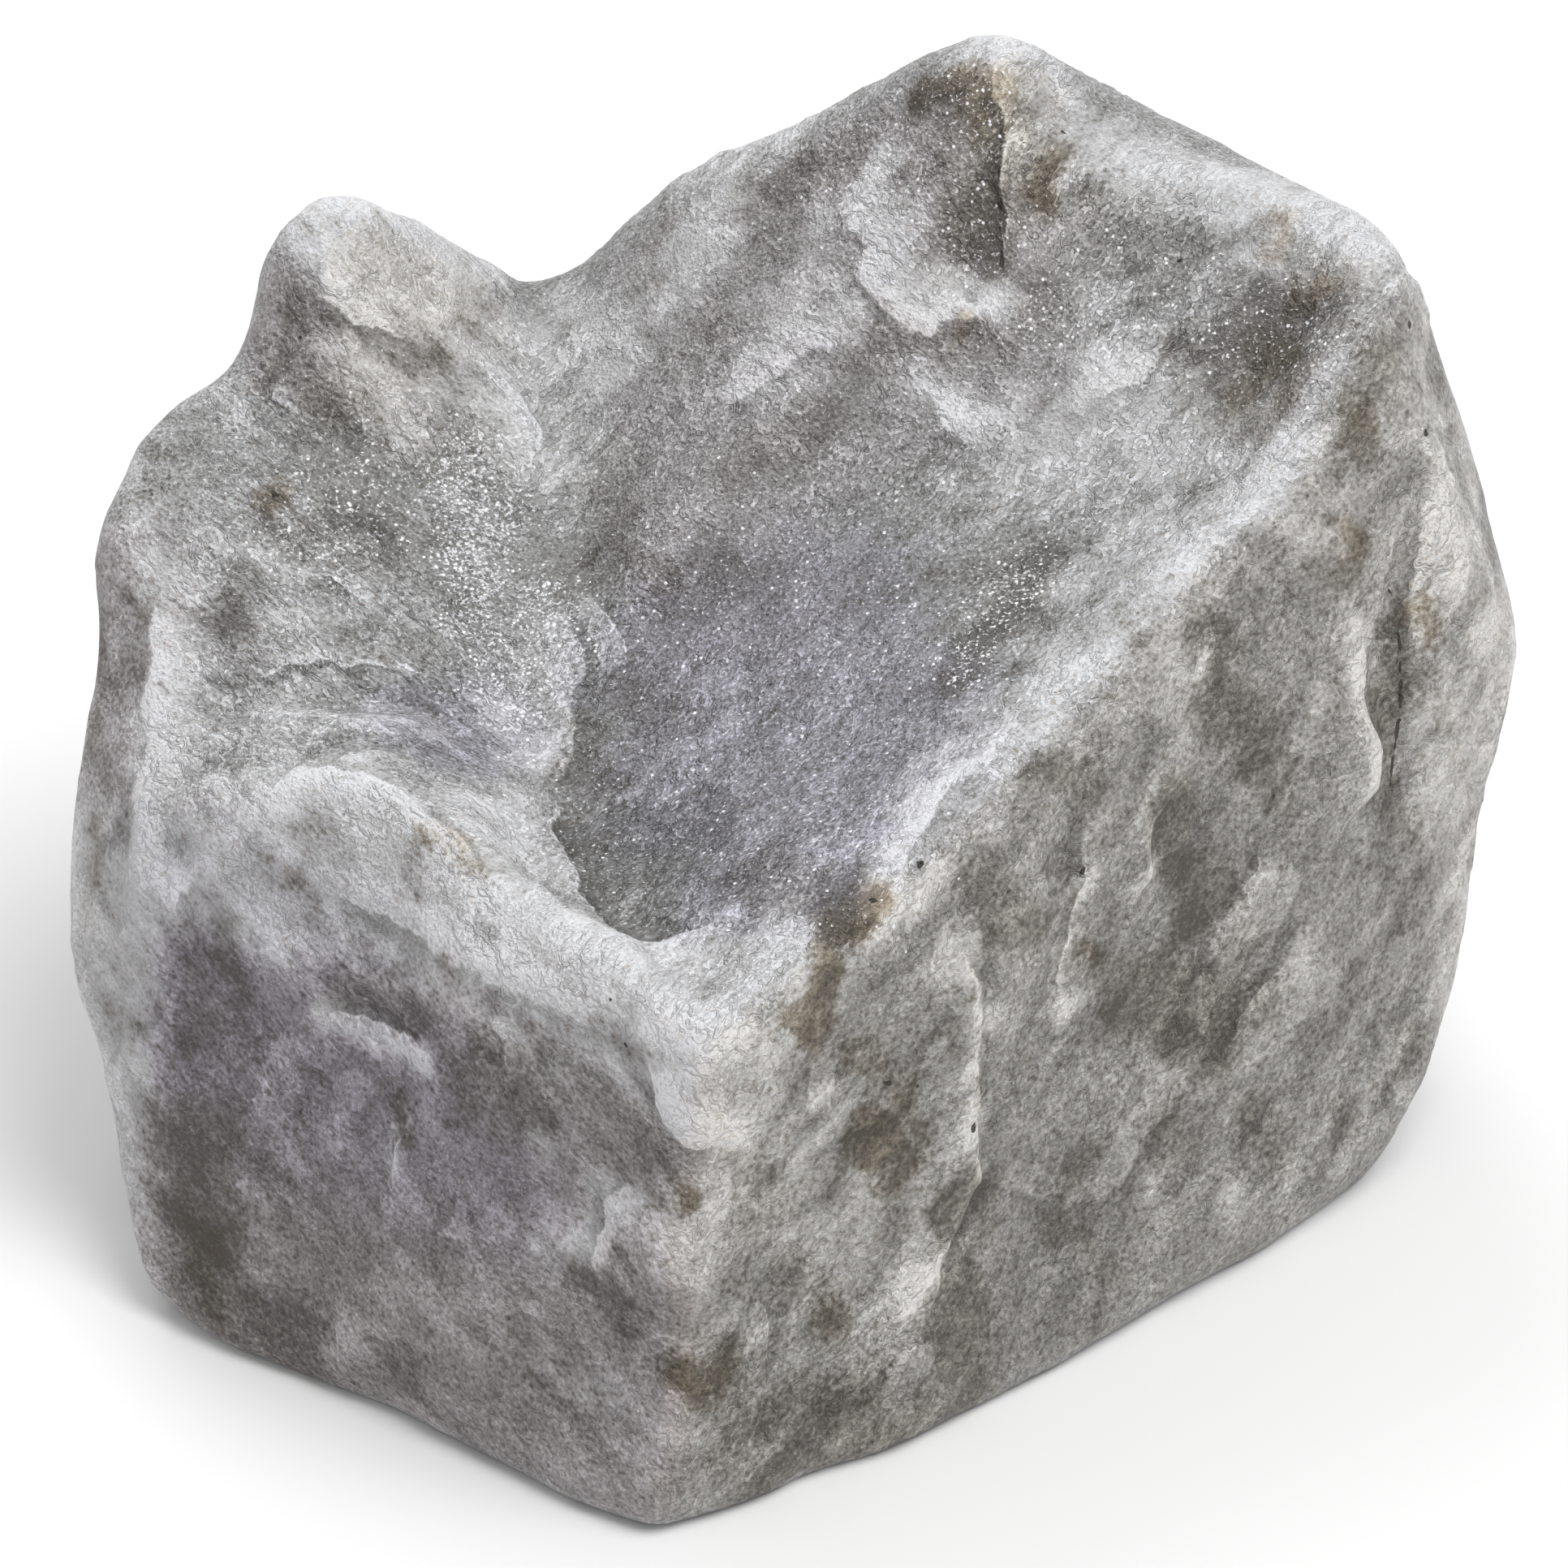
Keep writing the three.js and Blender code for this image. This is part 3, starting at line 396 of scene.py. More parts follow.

# Flake scars: their side, points along the lip, the way down, height of the step, how far back the
# painted light behind the lip fades, and how bright that painted light is.
FLAKES = {
    "lobed flake below the summit": ("top", [
        (2.5, 11.8), (1.7, 10.8), (1.6, 10.2), (2.2, 9.6), (2.1, 8.6), (2.6, 7.8),
        (3.3, 7.3), (5.3, 7.4), (6.3, 8.2),
    ], (-0.7, -0.7), 0.2, 1.3, 0.8),
    "scallop": ("top", [(3.8, 6), (4.3, 5.3), (4.7, 4.6), (5.3, 4.2), (6, 4.4)], (-0.7, -0.7), 0.2, 1, 0.8),
    "split in the right rim": ("top", [(9.2, 4.6), (9.8, 5), (10.5, 5.2), (11.2, 5.7)],
     (0, -1), 0.2, 0.8, 0.8),
    "long ledge": ("top", [(-2.5, 6.5), (-1.5, 6.7), (0.5, 7.2), (2, 7)], (0, -1), 0.2, 1.2, 0.6),
    "crack under the summit": ("top", [(6.1, 13), (6.4, 11.3), (6.5, 9.8), (6.5, 8.4)],
     (-1, 0), 0.3, 0.8, 0.9),
    "horn foot": ("top", [(-14.7, 10.7), (-14.5, 9.6), (-13.8, 9.3), (-12.7, 9.7), (-11.7, 9.7)],
     (-0.5, -0.8), 0.25, 1.2, 0.9),
    "ledge beside the horn": ("top", [(-15.8, 8.3), (-16.1, 7.5), (-15.1, 6.8)],
     (-0.7, -0.7), 0.25, 0.6, 0.6),
    "upper thin ledge": ("top", [(-15.6, 2.3), (-14.4, 2.1), (-13.7, 1.6), (-13, 1.2)],
     (0.2, -1), 0.15, 0.6, 0.8),
    "lower thin ledge": ("top", [(-17, -0.3), (-16.2, -0.7), (-14.5, -0.3), (-13.2, -0.6), (-11.8, -0.8)],
     (0, -1), 0.12, 0.6, 0.8),
    "thin ledge over the hollow": ("top", [(-6.6, 2.6), (-5.8, 1.4), (-5.3, 0.3), (-5.3, -0.9)],
     (0.9, -0.4), 0.12, 0.7, 0.6),
    "chip on the left part": ("top", [(-13.8, 7.6), (-13.4, 6.9), (-12.7, 6.7)],
     (-0.7, -0.7), 0.25, 0.8, 0.8),
    "valley edge": ("top", [(-8.7, 10), (-8, 8.8), (-8.1, 7.5)], (1, 0), 0.25, 0.9, 0.7),
    "left bank of the hollow": ("top", [(-7, 1.7), (-6.7, -0.8), (-7, -3.5), (-7.5, -4.8)],
     (1, 0), 0.3, 1.5, 0.6),
    "edge of the smoky bottom": ("top", [
        (-7.4, -5), (-7.2, -7.3), (-6.4, -10), (-5.6, -12.5), (-4.5, -13.2), (-3.3, -12.7), (-2.8, -11.7),
    ], (0.5, 0.8), 0.3, 1.2, 0.9),
    "front ridge flakes": ("top", [(-16.1, -6), (-14.8, -5.5), (-13.2, -6.3), (-11.7, -7.3), (-9.2, -10.5)],
     (0.6, 0.8), 0.15, 1, 0.6),
    "left corner chips": ("top", [(-19.6, -5), (-18.9, -6), (-18, -6.6)], (0, -1), 0.25, 0.7, 0.7),
    "left rim": ("top", [(-19.5, 2), (-19.9, 0), (-19.9, -2.5), (-20.2, -4)], (-1, 0), 0.15, 1, 0.6),
    "under the right ridge": ("top", [(5.6, -8.8), (4.3, -10.3), (3.4, -11.8), (3.1, -13)],
     (0.8, -0.6), 0.2, 1, 0.7),
    "front ridge lower edge": ("left wall", [
        (-6, 15.2), (-2.5, 15.3), (0.5, 15.3), (3.5, 15.1), (5.5, 15.1),
    ], (0, -1), 0.2, 1.6, 0.5),
    "wedge below the front corner": ("left wall", [(6.9, 15.1), (7.8, 13.7), (8.8, 12.8), (9.8, 12.4)],
     (-0.8, -0.6), 0.2, 1.2, 0.9),
    "patch on the left wall": ("left wall", [(7.3, 11), (6.1, 9.9), (6.2, 9), (5.9, 7.8), (6.7, 7.2)],
     (-1, 0), 0.15, 1.2, 0.7),
    "ledge on the left wall": ("left wall", [(-5.1, 12), (-4, 12.1), (-1.9, 12.2), (-0.4, 11.9)],
     (0, 1), 0.25, 0.9, 0.7),
    "upright flake on the left wall": ("left wall", [(-1.1, 9.9), (-1.8, 8.7), (-1.8, 7.4)],
     (-1, 0), 0.25, 0.7, 0.6),
    "low flake near the left foot": ("left wall", [(-3.5, 3), (-2.9, 2.1), (-2.6, 1)],
     (-1, 0), 0.2, 0.6, 0.5),
    "low flake of the left wall": ("left wall", [(3, 6), (4, 5.5), (5.2, 5.4)],
     (-0.7, -0.7), 0.2, 0.5, 0.6),
    "long ridge on the right wall": ("right wall", [
        (-4.2, 16), (-3.7, 14.9), (-3.7, 13), (-3.8, 10.7), (-3.8, 8), (-4.4, 6.4), (-5.6, 5.5), (-6, 4),
    ], (1, 0), 0.25, 1.3, 0.6),
    "curved ridge": ("right wall", [(1.4, 17.6), (1.1, 15.8), (-0.1, 13.8), (-0.1, 12)],
     (-1, 0), 0.2, 0.9, 0.6),
    "edge of the tall patch": ("right wall", [(4.8, 17.2), (4, 16.7), (3.9, 15), (2.8, 14)],
     (1, 0), 0.2, 0.8, 0.6),
    "upper short edge": ("right wall", [(8.2, 14.8), (8.3, 13.6), (7.2, 12.7)], (-1, 0), 0.2, 0.5, 0.6),
    "lower short edge": ("right wall", [(5.3, 7.7), (4.4, 7.4), (3.8, 6.7)], (-1, 0), 0.2, 0.5, 0.6),
    "low right step": ("right wall", [(8.9, 10.5), (7.2, 9), (5.9, 7.6)], (-1, 0), 0.15, 0.9, 0.5),
    "notch ridge": ("right wall", [(13.4, 19.5), (13.2, 17.5), (13.4, 15.8), (13, 14.6), (11.8, 13.8)],
     (1, 0), 0.35, 1, 0.9),
    "right end shoulder": ("right wall", [(17, 22.3), (16.3, 20.8), (15.6, 19.5), (15.1, 18.3)],
     (-0.7, -0.7), 0.35, 1.2, 0.8),
    "below the stains": ("right wall", [(-9.7, 14.3), (-10.2, 13), (-10, 12)], (-1, 0), 0.2, 0.6, 0.4),
    "foot of the front corner": ("right wall", [(-12.3, 7.4), (-11.8, 6), (-12.2, 4.4)],
     (1, 0), 0.2, 0.7, 0.5),
    "scratch": ("right wall", [(10.2, 16.7), (11.9, 16.3)], (0, -1), 0.08, 0.3, 0.7),
}

# Open cracks, and painted shade along the groove of the notch on the right wall: side, start, end and half
# width.
CRACKS_AND_GROOVE_SHADE = [
    ("top", (6.35, 9.9), (6.4, 8.5), 0.07),
    ("top", (6.1, 12.9), (6.3, 10.3), 0.04),
    # Painted shade: the next two lines darken the groove of the notch, where shadow falls.
    ("right wall", (14.9, 18.8), (14.5, 16.6), 0.07),
    ("right wall", (14.4, 16.2), (13.9, 14.2), 0.05),
]

# Small black pits.
PITS = {
    "top": [(8.3, 12.1), (11.9, 8.6), (2.3, -13.4), (3.7, -12.2), (-16.1, 4.6), (18.9, 6), (19.4, 4)],
    "right wall": [(1.1, 16.2), (-4, 9.7), (-7, 12.3), (15, 20.2), (-14.4, 15)],
}
PIT_RADIUS = 0.1
PIT_DEPTH = 0.15
PIT_SPREAD = 1.5  # how far a pit draws the skin in, in its radii
PIT_CORE = 0.8  # share of its radius that is fully dark
CRACK_CORE = 0.6
PIT_WANDER = 0.35  # how far the outlines of pits waver
CRACK_WANDER = 0.15

# ---------------- drawing node trees


class Sheet:
    """A node tree while it is drawn. Values may be plain numbers or the outputs of other nodes."""

    def __init__(self, tree):
        self.tree = tree
        self.count = 0

    def node(self, kind, feeds=None, **settings):
        made = self.tree.nodes.new(kind)
        made.location = (220 * (self.count // 6), -190 * (self.count % 6))
        self.count += 1
        for name, value in settings.items():
            setattr(made, name, value)
        for name, value in (feeds or {}).items():
            self.feed(made.inputs[name], value)
        return made

    def feed(self, socket, value):
        if isinstance(value, bpy.types.NodeSocket):
            self.tree.links.new(value, socket)
        else:
            socket.default_value = value

    def math(self, operation, *values, clamp=False):
        made = self.node("ShaderNodeMath", operation=operation, use_clamp=clamp)
        for socket, value in zip(made.inputs, values):
            self.feed(socket, value)
        return made.outputs[0]

    def times(self, value, amount):
        return self.math("MULTIPLY", value, amount)

    def swing(self, value, amount):
        """How far a pattern is from its middle, times amount."""
        return self.times(self.math("SUBTRACT", value, 0.5), amount)

    def total(self, *values):
        """The sum of all the values."""
        found = values[0]
        for value in values[1:]:
            found = self.math("ADD", found, value)
        return found

    def vector(self, operation, *values):
        made = self.node("ShaderNodeVectorMath", operation=operation)
        for socket, value in zip(made.inputs, values):
            self.feed(socket, value)
        return made.outputs["Value" if operation in ("DOT_PRODUCT", "DISTANCE") else "Vector"]

    def scaled(self, vector, amount):
        made = self.node("ShaderNodeVectorMath", {"Scale": amount, 0: vector}, operation="SCALE")
        return made.outputs["Vector"]

    def along(self, axis, vector):
        return self.node("ShaderNodeSeparateXYZ", {0: vector}).outputs[axis]

    def span(self, value, low, high, to_low=0.0, to_high=1.0):
        """Value read between low and high, eased, as a number from to_low to to_high."""
        feeds = {"Value": value, "From Min": low, "From Max": high, "To Min": to_low, "To Max": to_high}
        made = self.node("ShaderNodeMapRange", feeds, interpolation_type="SMOOTHSTEP", clamp=True)
        return made.outputs["Result"]

    def noise(self, place, scale, detail=2.0, roughness=0.5, distortion=0.0, output="Fac"):
        feeds = {"Vector": place, "Scale": scale, "Detail": detail, "Roughness": roughness}
        feeds["Distortion"] = distortion
        made = self.node("ShaderNodeTexNoise", feeds, noise_dimensions="3D")
        return made.outputs[output]

    def blend(self, share, first, second):
        """A number that goes from first to second as share goes from 0 to 1."""
        made = self.node("ShaderNodeMix", data_type="FLOAT", clamp_factor=True)
        self.feed(made.inputs[0], share)
        self.feed(made.inputs[2], first)
        self.feed(made.inputs[3], second)
        return made.outputs[0]

    def tint(self, share, first, second, how="MIX"):
        """A colour that goes from first to second as share goes from 0 to 1."""
        made = self.node("ShaderNodeMix", data_type="RGBA", blend_type=how, clamp_factor=True)
        self.feed(made.inputs[0], share)
        self.feed(made.inputs[6], first)
        self.feed(made.inputs[7], second)
        return made.outputs[2]


def new_group(name, kind, inputs, outputs):
    """A sheet for a new node group with these names and kinds of sockets, and the sockets it is given."""
    group = bpy.data.node_groups.new(name, kind)
    for in_out, sockets in (("INPUT", inputs), ("OUTPUT", outputs)):
        for socket_name, socket_kind in sockets.items():
            group.interface.new_socket(socket_name, in_out=in_out, socket_type="NodeSocket" + socket_kind)
    sheet = Sheet(group)
    return sheet, sheet.node("NodeGroupInput").outputs


def close_group(sheet, name, value):
    """The finished node group, which gives this value under this name."""
    sheet.node("NodeGroupOutput", {name: value})
    return sheet.tree


def draw_out(sheet, place, direction, stretch):
    """Place squeezed along direction, so that a pattern read there is drawn out along it."""
    along = sheet.vector("DOT_PRODUCT", place, direction)
    lost = sheet.math("SUBTRACT", 1.0, sheet.math("DIVIDE", 1.0, stretch))
    return sheet.vector("SUBTRACT", place, sheet.scaled(direction, sheet.times(along, lost)))


def in_layers(sheet, place, stretch):
    """Where to read a pattern, so that it lies in the thin sheets, stretch times as wide as thick."""
    thin = sheet.math("DIVIDE", 1.0, stretch)
    return draw_out(sheet, sheet.scaled(place, thin), LAYER_FACING, thin)


# ---------------- marks painted on the skin


def skin_points(stone):
    count = len(stone.data.vertices)
    points = np.empty(count * 3)
    stone.data.vertices.foreach_get("co", points)
    return points.reshape(-1, 3) / MM


def wander(points, amount):
    """The points pushed about by roughly this amount, so that the outline of a mark read there wavers."""
    # Broad waves and finer ones, which all run askew.
    x, y, z = points.T
    wide = np.stack([np.sin(1.9 * y + 1.3 * z), np.sin(1.7 * z + 2.1 * x), np.sin(2.3 * x + 1.5 * y)], 1)
    fine = np.stack([np.sin(4.7 * z - 3.9 * y), np.sin(5.3 * x + 4.1 * z), np.sin(4.3 * y - 5.9 * x)], 1)
    return points + amount * (wide + 0.5 * fine)


def keep_attribute(stone, name, values):
    layer = stone.data.attributes.new(name, "FLOAT", "POINT")
    layer.data.foreach_set("value", values.astype(np.float32))


def along_side(side, place):
    """The direction or place that two measures on a side of the stone stand for."""
    across, up, _ = (np.array(way) for way in SIDES[side])
    return place[0] * across + place[1] * up


def on_skin(stone, side, place):
    """Where a place on a side lies on the skin."""
    inward = np.array(SIDES[side][2])
    outside = along_side(side, place) - FAR_OUT * inward
    found, where, _, _ = stone.ray_cast(Vector(outside) * MM, Vector(inward))
    if not found:
        beside = outside + (FAR_OUT - MISSED_OUT) * inward
        _, where, _, _ = stone.closest_point_on_mesh(Vector(beside) * MM)
    return np.array(where) / MM


def away_from_stroke(points, start, end):
    """Distance of each point from the stroke, and the nearest place on it."""
    run = end - start
    share = np.clip((points - start) @ run / max(run @ run, 1e-9), 0.0, 1.0)
    nearest = start + share[:, None] * run
    return np.linalg.norm(points - nearest, axis=1), nearest


def paint(stone, name, sides):
    """Keeps the strokes of all sides as an attribute, full in the middle and fading at their edges."""
    points = wander(skin_points(stone), MARK_WANDER)
    found = np.zeros(len(points))
    for side, strokes in sides.items():
        for start, end, radius, strength in strokes:
            distance, _ = away_from_stroke(points, on_skin(stone, side, start), on_skin(stone, side, end))
            fade = np.clip((distance / radius - MARK_CORE) / MARK_FADE, 0.0, 1.0)
            found = np.maximum(found, strength * (1.0 - fade * fade * (3.0 - 2.0 * fade)))
    keep_attribute(stone, name, found)


def beside_lip(points, lip, down):
    """How far each point is from the lip of a scar, and how far down the way from it."""
    nearest = np.full(len(points), np.inf)
    side = np.zeros(len(points))
    for start, end in zip(lip, lip[1:]):
        distance, foot = away_from_stroke(points, start, end)
        run = end - start
        across = down - run * (down @ run) / (run @ run)
        across = across / np.linalg.norm(across)
        closer = distance < nearest
        nearest = np.where(closer, distance, nearest)
        side = np.where(closer, (points - foot) @ across, side)
    return nearest, side


def carve_flakes(stone, pits):
    """Keeps how far scars and pits move the skin, how far across its lip each point is, and its painted
    light.
    """
    points = wander(skin_points(stone), LIP_WANDER)
    moved = np.zeros(len(points))
    closest = np.full(len(points), np.inf)
    edge = np.full(len(points), NO_LIP)
    light = np.zeros(len(points))
    for side_name, lip, down, step, fade, brightness in FLAKES.values():
        lip = [on_skin(stone, side_name, place) for place in lip]
        nearest, side = beside_lip(points, lip, along_side(side_name, down))
        ends = [np.linalg.norm(points - lip[i], axis=1) for i in (0, -1)]
        tail = np.clip(np.minimum(*ends) / LIP_TAPER, 0.0, 1.0)
        reach = np.exp(-((nearest / (LIP_REACH * fade)) ** 2))
        drop = np.clip(side / LIP_WIDTH, -1.0, 1.0) * reach
        moved -= step * 0.5 * drop * (LEAST_STEP + (1.0 - LEAST_STEP) * tail)
        off_end = np.sqrt(np.maximum(nearest**2 - side**2, 0.0))
        here = brightness * tail * np.exp(-((off_end / LIP_OVERRUN) ** 2))
        take = (nearest < closest) & (nearest < LIT_REACH * fade)
        closest = np.where(take, nearest, closest)
        edge = np.where(take, side / fade, edge)
        light = np.where(take, here, light)
    for pit in pits:
        distance = np.linalg.norm(points - pit, axis=1)
        moved -= PIT_DEPTH * np.exp(-((distance / (PIT_RADIUS * PIT_SPREAD)) ** 2))
    keep_attribute(stone, "flake", moved)
    keep_attribute(stone, "edge", edge)
    keep_attribute(stone, "edge_light", light)


# ---------------- the relief of the skin


def keep_field(sheet, geometry, name, value, kind="FLOAT"):
    feeds = {"Geometry": geometry, "Name": name, "Value": value}
    return sheet.node("GeometryNodeStoreNamedAttribute", feeds, data_type=kind, domain="POINT").outputs[0]


def painted(sheet, name):
    made = sheet.node("GeometryNodeInputNamedAttribute", {"Name": name}, data_type="FLOAT")
    return made.outputs["Attribute"]


def blurred(sheet, value, rounds):
    feeds = {"Value": value, "Iterations": rounds}
    return sheet.node("GeometryNodeBlurAttribute", feeds, data_type="FLOAT_VECTOR").outputs[0]


def keep_standing(sheet, geometry, where, facing):
    """Keeps how far the skin stands proud of its surroundings, and how squarely it faces each way."""
    for name, rounds, full in PROUD:
        lifted = sheet.vector("SUBTRACT", where, blurred(sheet, where, rounds))
        proud = sheet.vector("DOT_PRODUCT", lifted, facing)
        geometry = keep_field(sheet, geometry, name, sheet.math("DIVIDE", proud, full * MM))
    broad = blurred(sheet, facing, FACING_ROUNDS)
    for name, way in FACINGS.items():
        turned = sheet.vector("DOT_PRODUCT", broad, way)
        geometry = keep_field(sheet, geometry, name, sheet.span(turned, *FACING_SPAN))
    return geometry


def keep_patterns(sheet, geometry, place):
    """Keeps the broad patterns, which run one way on the top and another on each wall."""
    left_of_top = sheet.span(sheet.along("X", place), *LEFT_PART)
    on_left = sheet.math("MAXIMUM", painted(sheet, "left_wall"), left_of_top)
    on_right = painted(sheet, "right_wall")
    geometry = keep_field(sheet, geometry, "left_part", on_left)
    for name, stretch, scale, detail, roughness, twist in BROAD_PATTERNS:
        drawn = (
            in_layers(sheet, place, stretch),
            draw_out(sheet, place, RIGHT_STREAKS, stretch),
            draw_out(sheet, place, LEFT_STREAKS, stretch),
        )
        on_top, right, left = (sheet.noise(way, scale, detail, roughness, twist) for way in drawn)
        pattern = sheet.blend(on_left, sheet.blend(on_right, on_top, right), left)
        geometry = keep_field(sheet, geometry, name, pattern)
    return geometry


def relief_group():
    """Geometry nodes that raise lumps and low flakes on the skin and keep what the colours need."""
    sheet, given = new_group(
        "broken_stone_relief", "GeometryNodeTree", {"Geometry": "Geometry"}, {"Geometry": "Geometry"}
    )
    where = sheet.node("GeometryNodeInputPosition").outputs[0]
    facing = sheet.node("GeometryNodeInputNormal").outputs[0]
    place = sheet.scaled(where, 1.0 / MM)
    push = sheet.noise(place, WARP_SCALE, detail=3.0, output="Color")
    push = sheet.scaled(sheet.vector("SUBTRACT", push, (0.5, 0.5, 0.5)), WARP)
    flow = in_layers(sheet, sheet.vector("ADD", place, push), LAYER_STRETCH)

    lumps = sheet.swing(sheet.noise(flow, LUMP_SCALE), LUMP_HEIGHT)
    layer = sheet.times(sheet.noise(flow, FLAKE_SCALE, detail=3.0), FLAKE_LEVELS)
    layer_here = sheet.span(sheet.noise(place, FLAKE_PATCH_SCALE), *FLAKE_PATCHES)
    risen = sheet.total(
        sheet.math("FLOOR", layer),
        sheet.span(sheet.math("FRACT", layer), *FLAKE_LIP),
        sheet.times(layer, -FLAKE_SLOPE),
    )
    flakes = sheet.times(sheet.times(risen, layer_here), FLAKE_STEP)
    grain = sheet.swing(sheet.noise(flow, GRAIN_SCALE, detail=3.0, roughness=0.6), GRAIN_HEIGHT)
    scars = painted(sheet, "flake")

    free = sheet.span(sheet.along("Z", place), 0.0, FOOT_BLEND)
    lift = sheet.times(sheet.total(lumps, flakes, grain, scars), free)
    geometry = keep_field(sheet, given["Geometry"], "rest", where, "FLOAT_VECTOR")
    geometry = keep_field(sheet, geometry, "layer", layer)
    geometry = keep_field(sheet, geometry, "layer_here", layer_here)
    offset = sheet.scaled(facing, sheet.times(lift, MM))
    geometry = sheet.node("GeometryNodeSetPosition", {"Geometry": geometry, "Offset": offset}).outputs[0]
    geometry = keep_standing(sheet, geometry, where, facing)
    geometry = keep_patterns(sheet, geometry, place)
    return close_group(sheet, "Geometry", geometry)


def take_up(piece):
    """Selects this piece alone and makes it the active one."""
    bpy.ops.object.select_all(action="DESELECT")
    piece.select_set(True)
    bpy.context.view_layer.objects.active = piece


def apply_modifier(piece, name, kind, **settings):
    made = piece.modifiers.new(name, kind)
    for setting, value in settings.items():
        setattr(made, setting, value)
    take_up(piece)
    bpy.ops.object.modifier_apply(modifier=made.name)


def make_stone():
    """The solid remeshed finely, with its marks, its relief and its material."""
    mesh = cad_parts["hackmanite"].data.copy()
    stone = bpy.data.objects.new("hackmanite_stone", mesh)
    bpy.context.scene.collection.objects.link(stone)
    take_up(stone)
    bpy.ops.object.mode_set(mode="EDIT")
    bpy.ops.mesh.select_all(action="SELECT")
    bpy.ops.mesh.remove_doubles(threshold=WELD * MM)
    bpy.ops.object.mode_set(mode="OBJECT")

    apply_modifier(stone, "even_skin", "REMESH", mode="VOXEL", voxel_size=GRAIN_SIZE * MM)
    apply_modifier(stone, "worn_edges", "SMOOTH", factor=SOFTENING, iterations=SOFTENING_ROUNDS)
    bpy.context.view_layer.update()
    for name, sides in MARKS.items():
        paint(stone, name, sides)
    pits = [on_skin(stone, side, pit) for side, places in PITS.items() for pit in places]
    carve_flakes(stone, pits)
    cracks_and_groove_shade = []
    for side, start, end, half_width in CRACKS_AND_GROOVE_SHADE:
        cracks_and_groove_shade.append((on_skin(stone, side, start), on_skin(stone, side, end), half_width))
    apply_modifier(stone, "relief", "NODES", node_group=relief_group())
    take_up(stone)
    bpy.ops.object.shade_smooth()
    stone.data.materials.clear()
    stone.data.materials.append(hackmanite_material(pits, cracks_and_groove_shade))
    return stone


# ---------------- the stone's material


def fibre_group():
    """A pattern drawn out along the layers, or on the left part of the stone along its own streaks."""
    sheet, given = new_group(
        "fibre_pattern",
        "ShaderNodeTree",
        {"Place": "Vector", "Left Part": "Float", "Stretch": "Float", "Scale": "Float", "Detail": "Float",
         "Roughness": "Float"},
        {"Pattern": "Float"},
    )
    drawn = (
        in_layers(sheet, given["Place"], given["Stretch"]),
        draw_out(sheet, given["Place"], LEFT_STREAKS, given["Stretch"]),
    )
    patterns = (sheet.noise(way, given["Scale"], given["Detail"], given["Roughness"]) for way in drawn)
    return close_group(sheet, "Pattern", sheet.blend(given["Left Part"], *patterns))


def scale_group():
    """Flakes over each other: painted light at the lip of each, fading down its slope to painted shade at
    its foot.
    """
    sheet, given = new_group(
        "scale_edges", "ShaderNodeTree", {"Level": "Float", "Fade": "Float"}, {"Light": "Float"}
    )
    part = sheet.math("FRACT", given["Level"])
    slope = sheet.span(part, 0.0, given["Fade"], 1.0, 0.0)
    lip = sheet.math("MAXIMUM", slope, sheet.span(part, 0.965, 0.99))
    foot = sheet.times(sheet.span(part, 0.7, 0.95), sheet.span(part, 0.96, 0.98, -0.5, 0.0))
    return close_group(sheet, "Light", sheet.total(lip, foot))


def speck_group():
    """Single dots: Share is how many of the cells hold one."""
    sheet, given = new_group(
        "specks",
        "ShaderNodeTree",
        {"Place": "Vector", "Scale": "Float", "Share": "Float", "Size": "Float"},
        {"Specks": "Float"},
    )
    feeds = {"Vector": given["Place"], "Scale": given["Scale"]}
    cells = sheet.node("ShaderNodeTexVoronoi", feeds, feature="F1")
    chance = sheet.node("ShaderNodeSeparateColor", {0: cells.outputs["Color"]}).outputs[0]
    chosen = sheet.math("LESS_THAN", chance, given["Share"])
    solid = sheet.times(given["Size"], 0.5)
    inside = sheet.math("SUBTRACT", 1.0, sheet.span(cells.outputs["Distance"], solid, given["Size"]))
    return close_group(sheet, "Specks", sheet.times(chosen, inside))


def pit_group(pits, cracks_and_groove_shade):
    """1 inside the small dark pits and cracks and in the painted shade along the notch's groove, and 0
    elsewhere.
    """
    sheet, given = new_group("pits_cracks_and_groove_shade", "ShaderNodeTree", {"Place": "Vector"}, {"Pits": "Float"})
    nearest = FAR_OUT
    for pit in pits:
        nearest = sheet.math("MINIMUM", nearest, sheet.vector("DISTANCE", given["Place"], tuple(pit)))
    unevenness = sheet.swing(sheet.noise(given["Place"], scale=4.0, detail=0.0), 1.0)
    ragged = sheet.math("ADD", nearest, sheet.times(unevenness, PIT_WANDER))
    found = sheet.span(ragged, PIT_RADIUS * PIT_CORE, PIT_RADIUS, 1.0, 0.0)
    for start, end, half_width in cracks_and_groove_shade:
        run = end - start
        from_start = sheet.vector("SUBTRACT", given["Place"], tuple(start))
        along = sheet.vector("DOT_PRODUCT", from_start, tuple(run))
        share = sheet.math("MULTIPLY", along, 1.0 / (run @ run), clamp=True)
        away = sheet.vector("DISTANCE", from_start, sheet.scaled(tuple(run), share))
        ragged = sheet.math("ADD", away, sheet.times(unevenness, CRACK_WANDER))
        # Each dark line is an open crack, but the two along the notch are painted shade in its groove.
        crack = sheet.span(ragged, half_width * CRACK_CORE, half_width, 1.0, 0.0)
        found = sheet.math("MAXIMUM", found, crack)
    return close_group(sheet, "Pits", found)


def new_material(name):
    """An empty material and the sheet to draw it on."""
    material = bpy.data.materials.new(name)
    material.use_nodes = True
    material.node_tree.nodes.clear()
    return material, Sheet(material.node_tree)


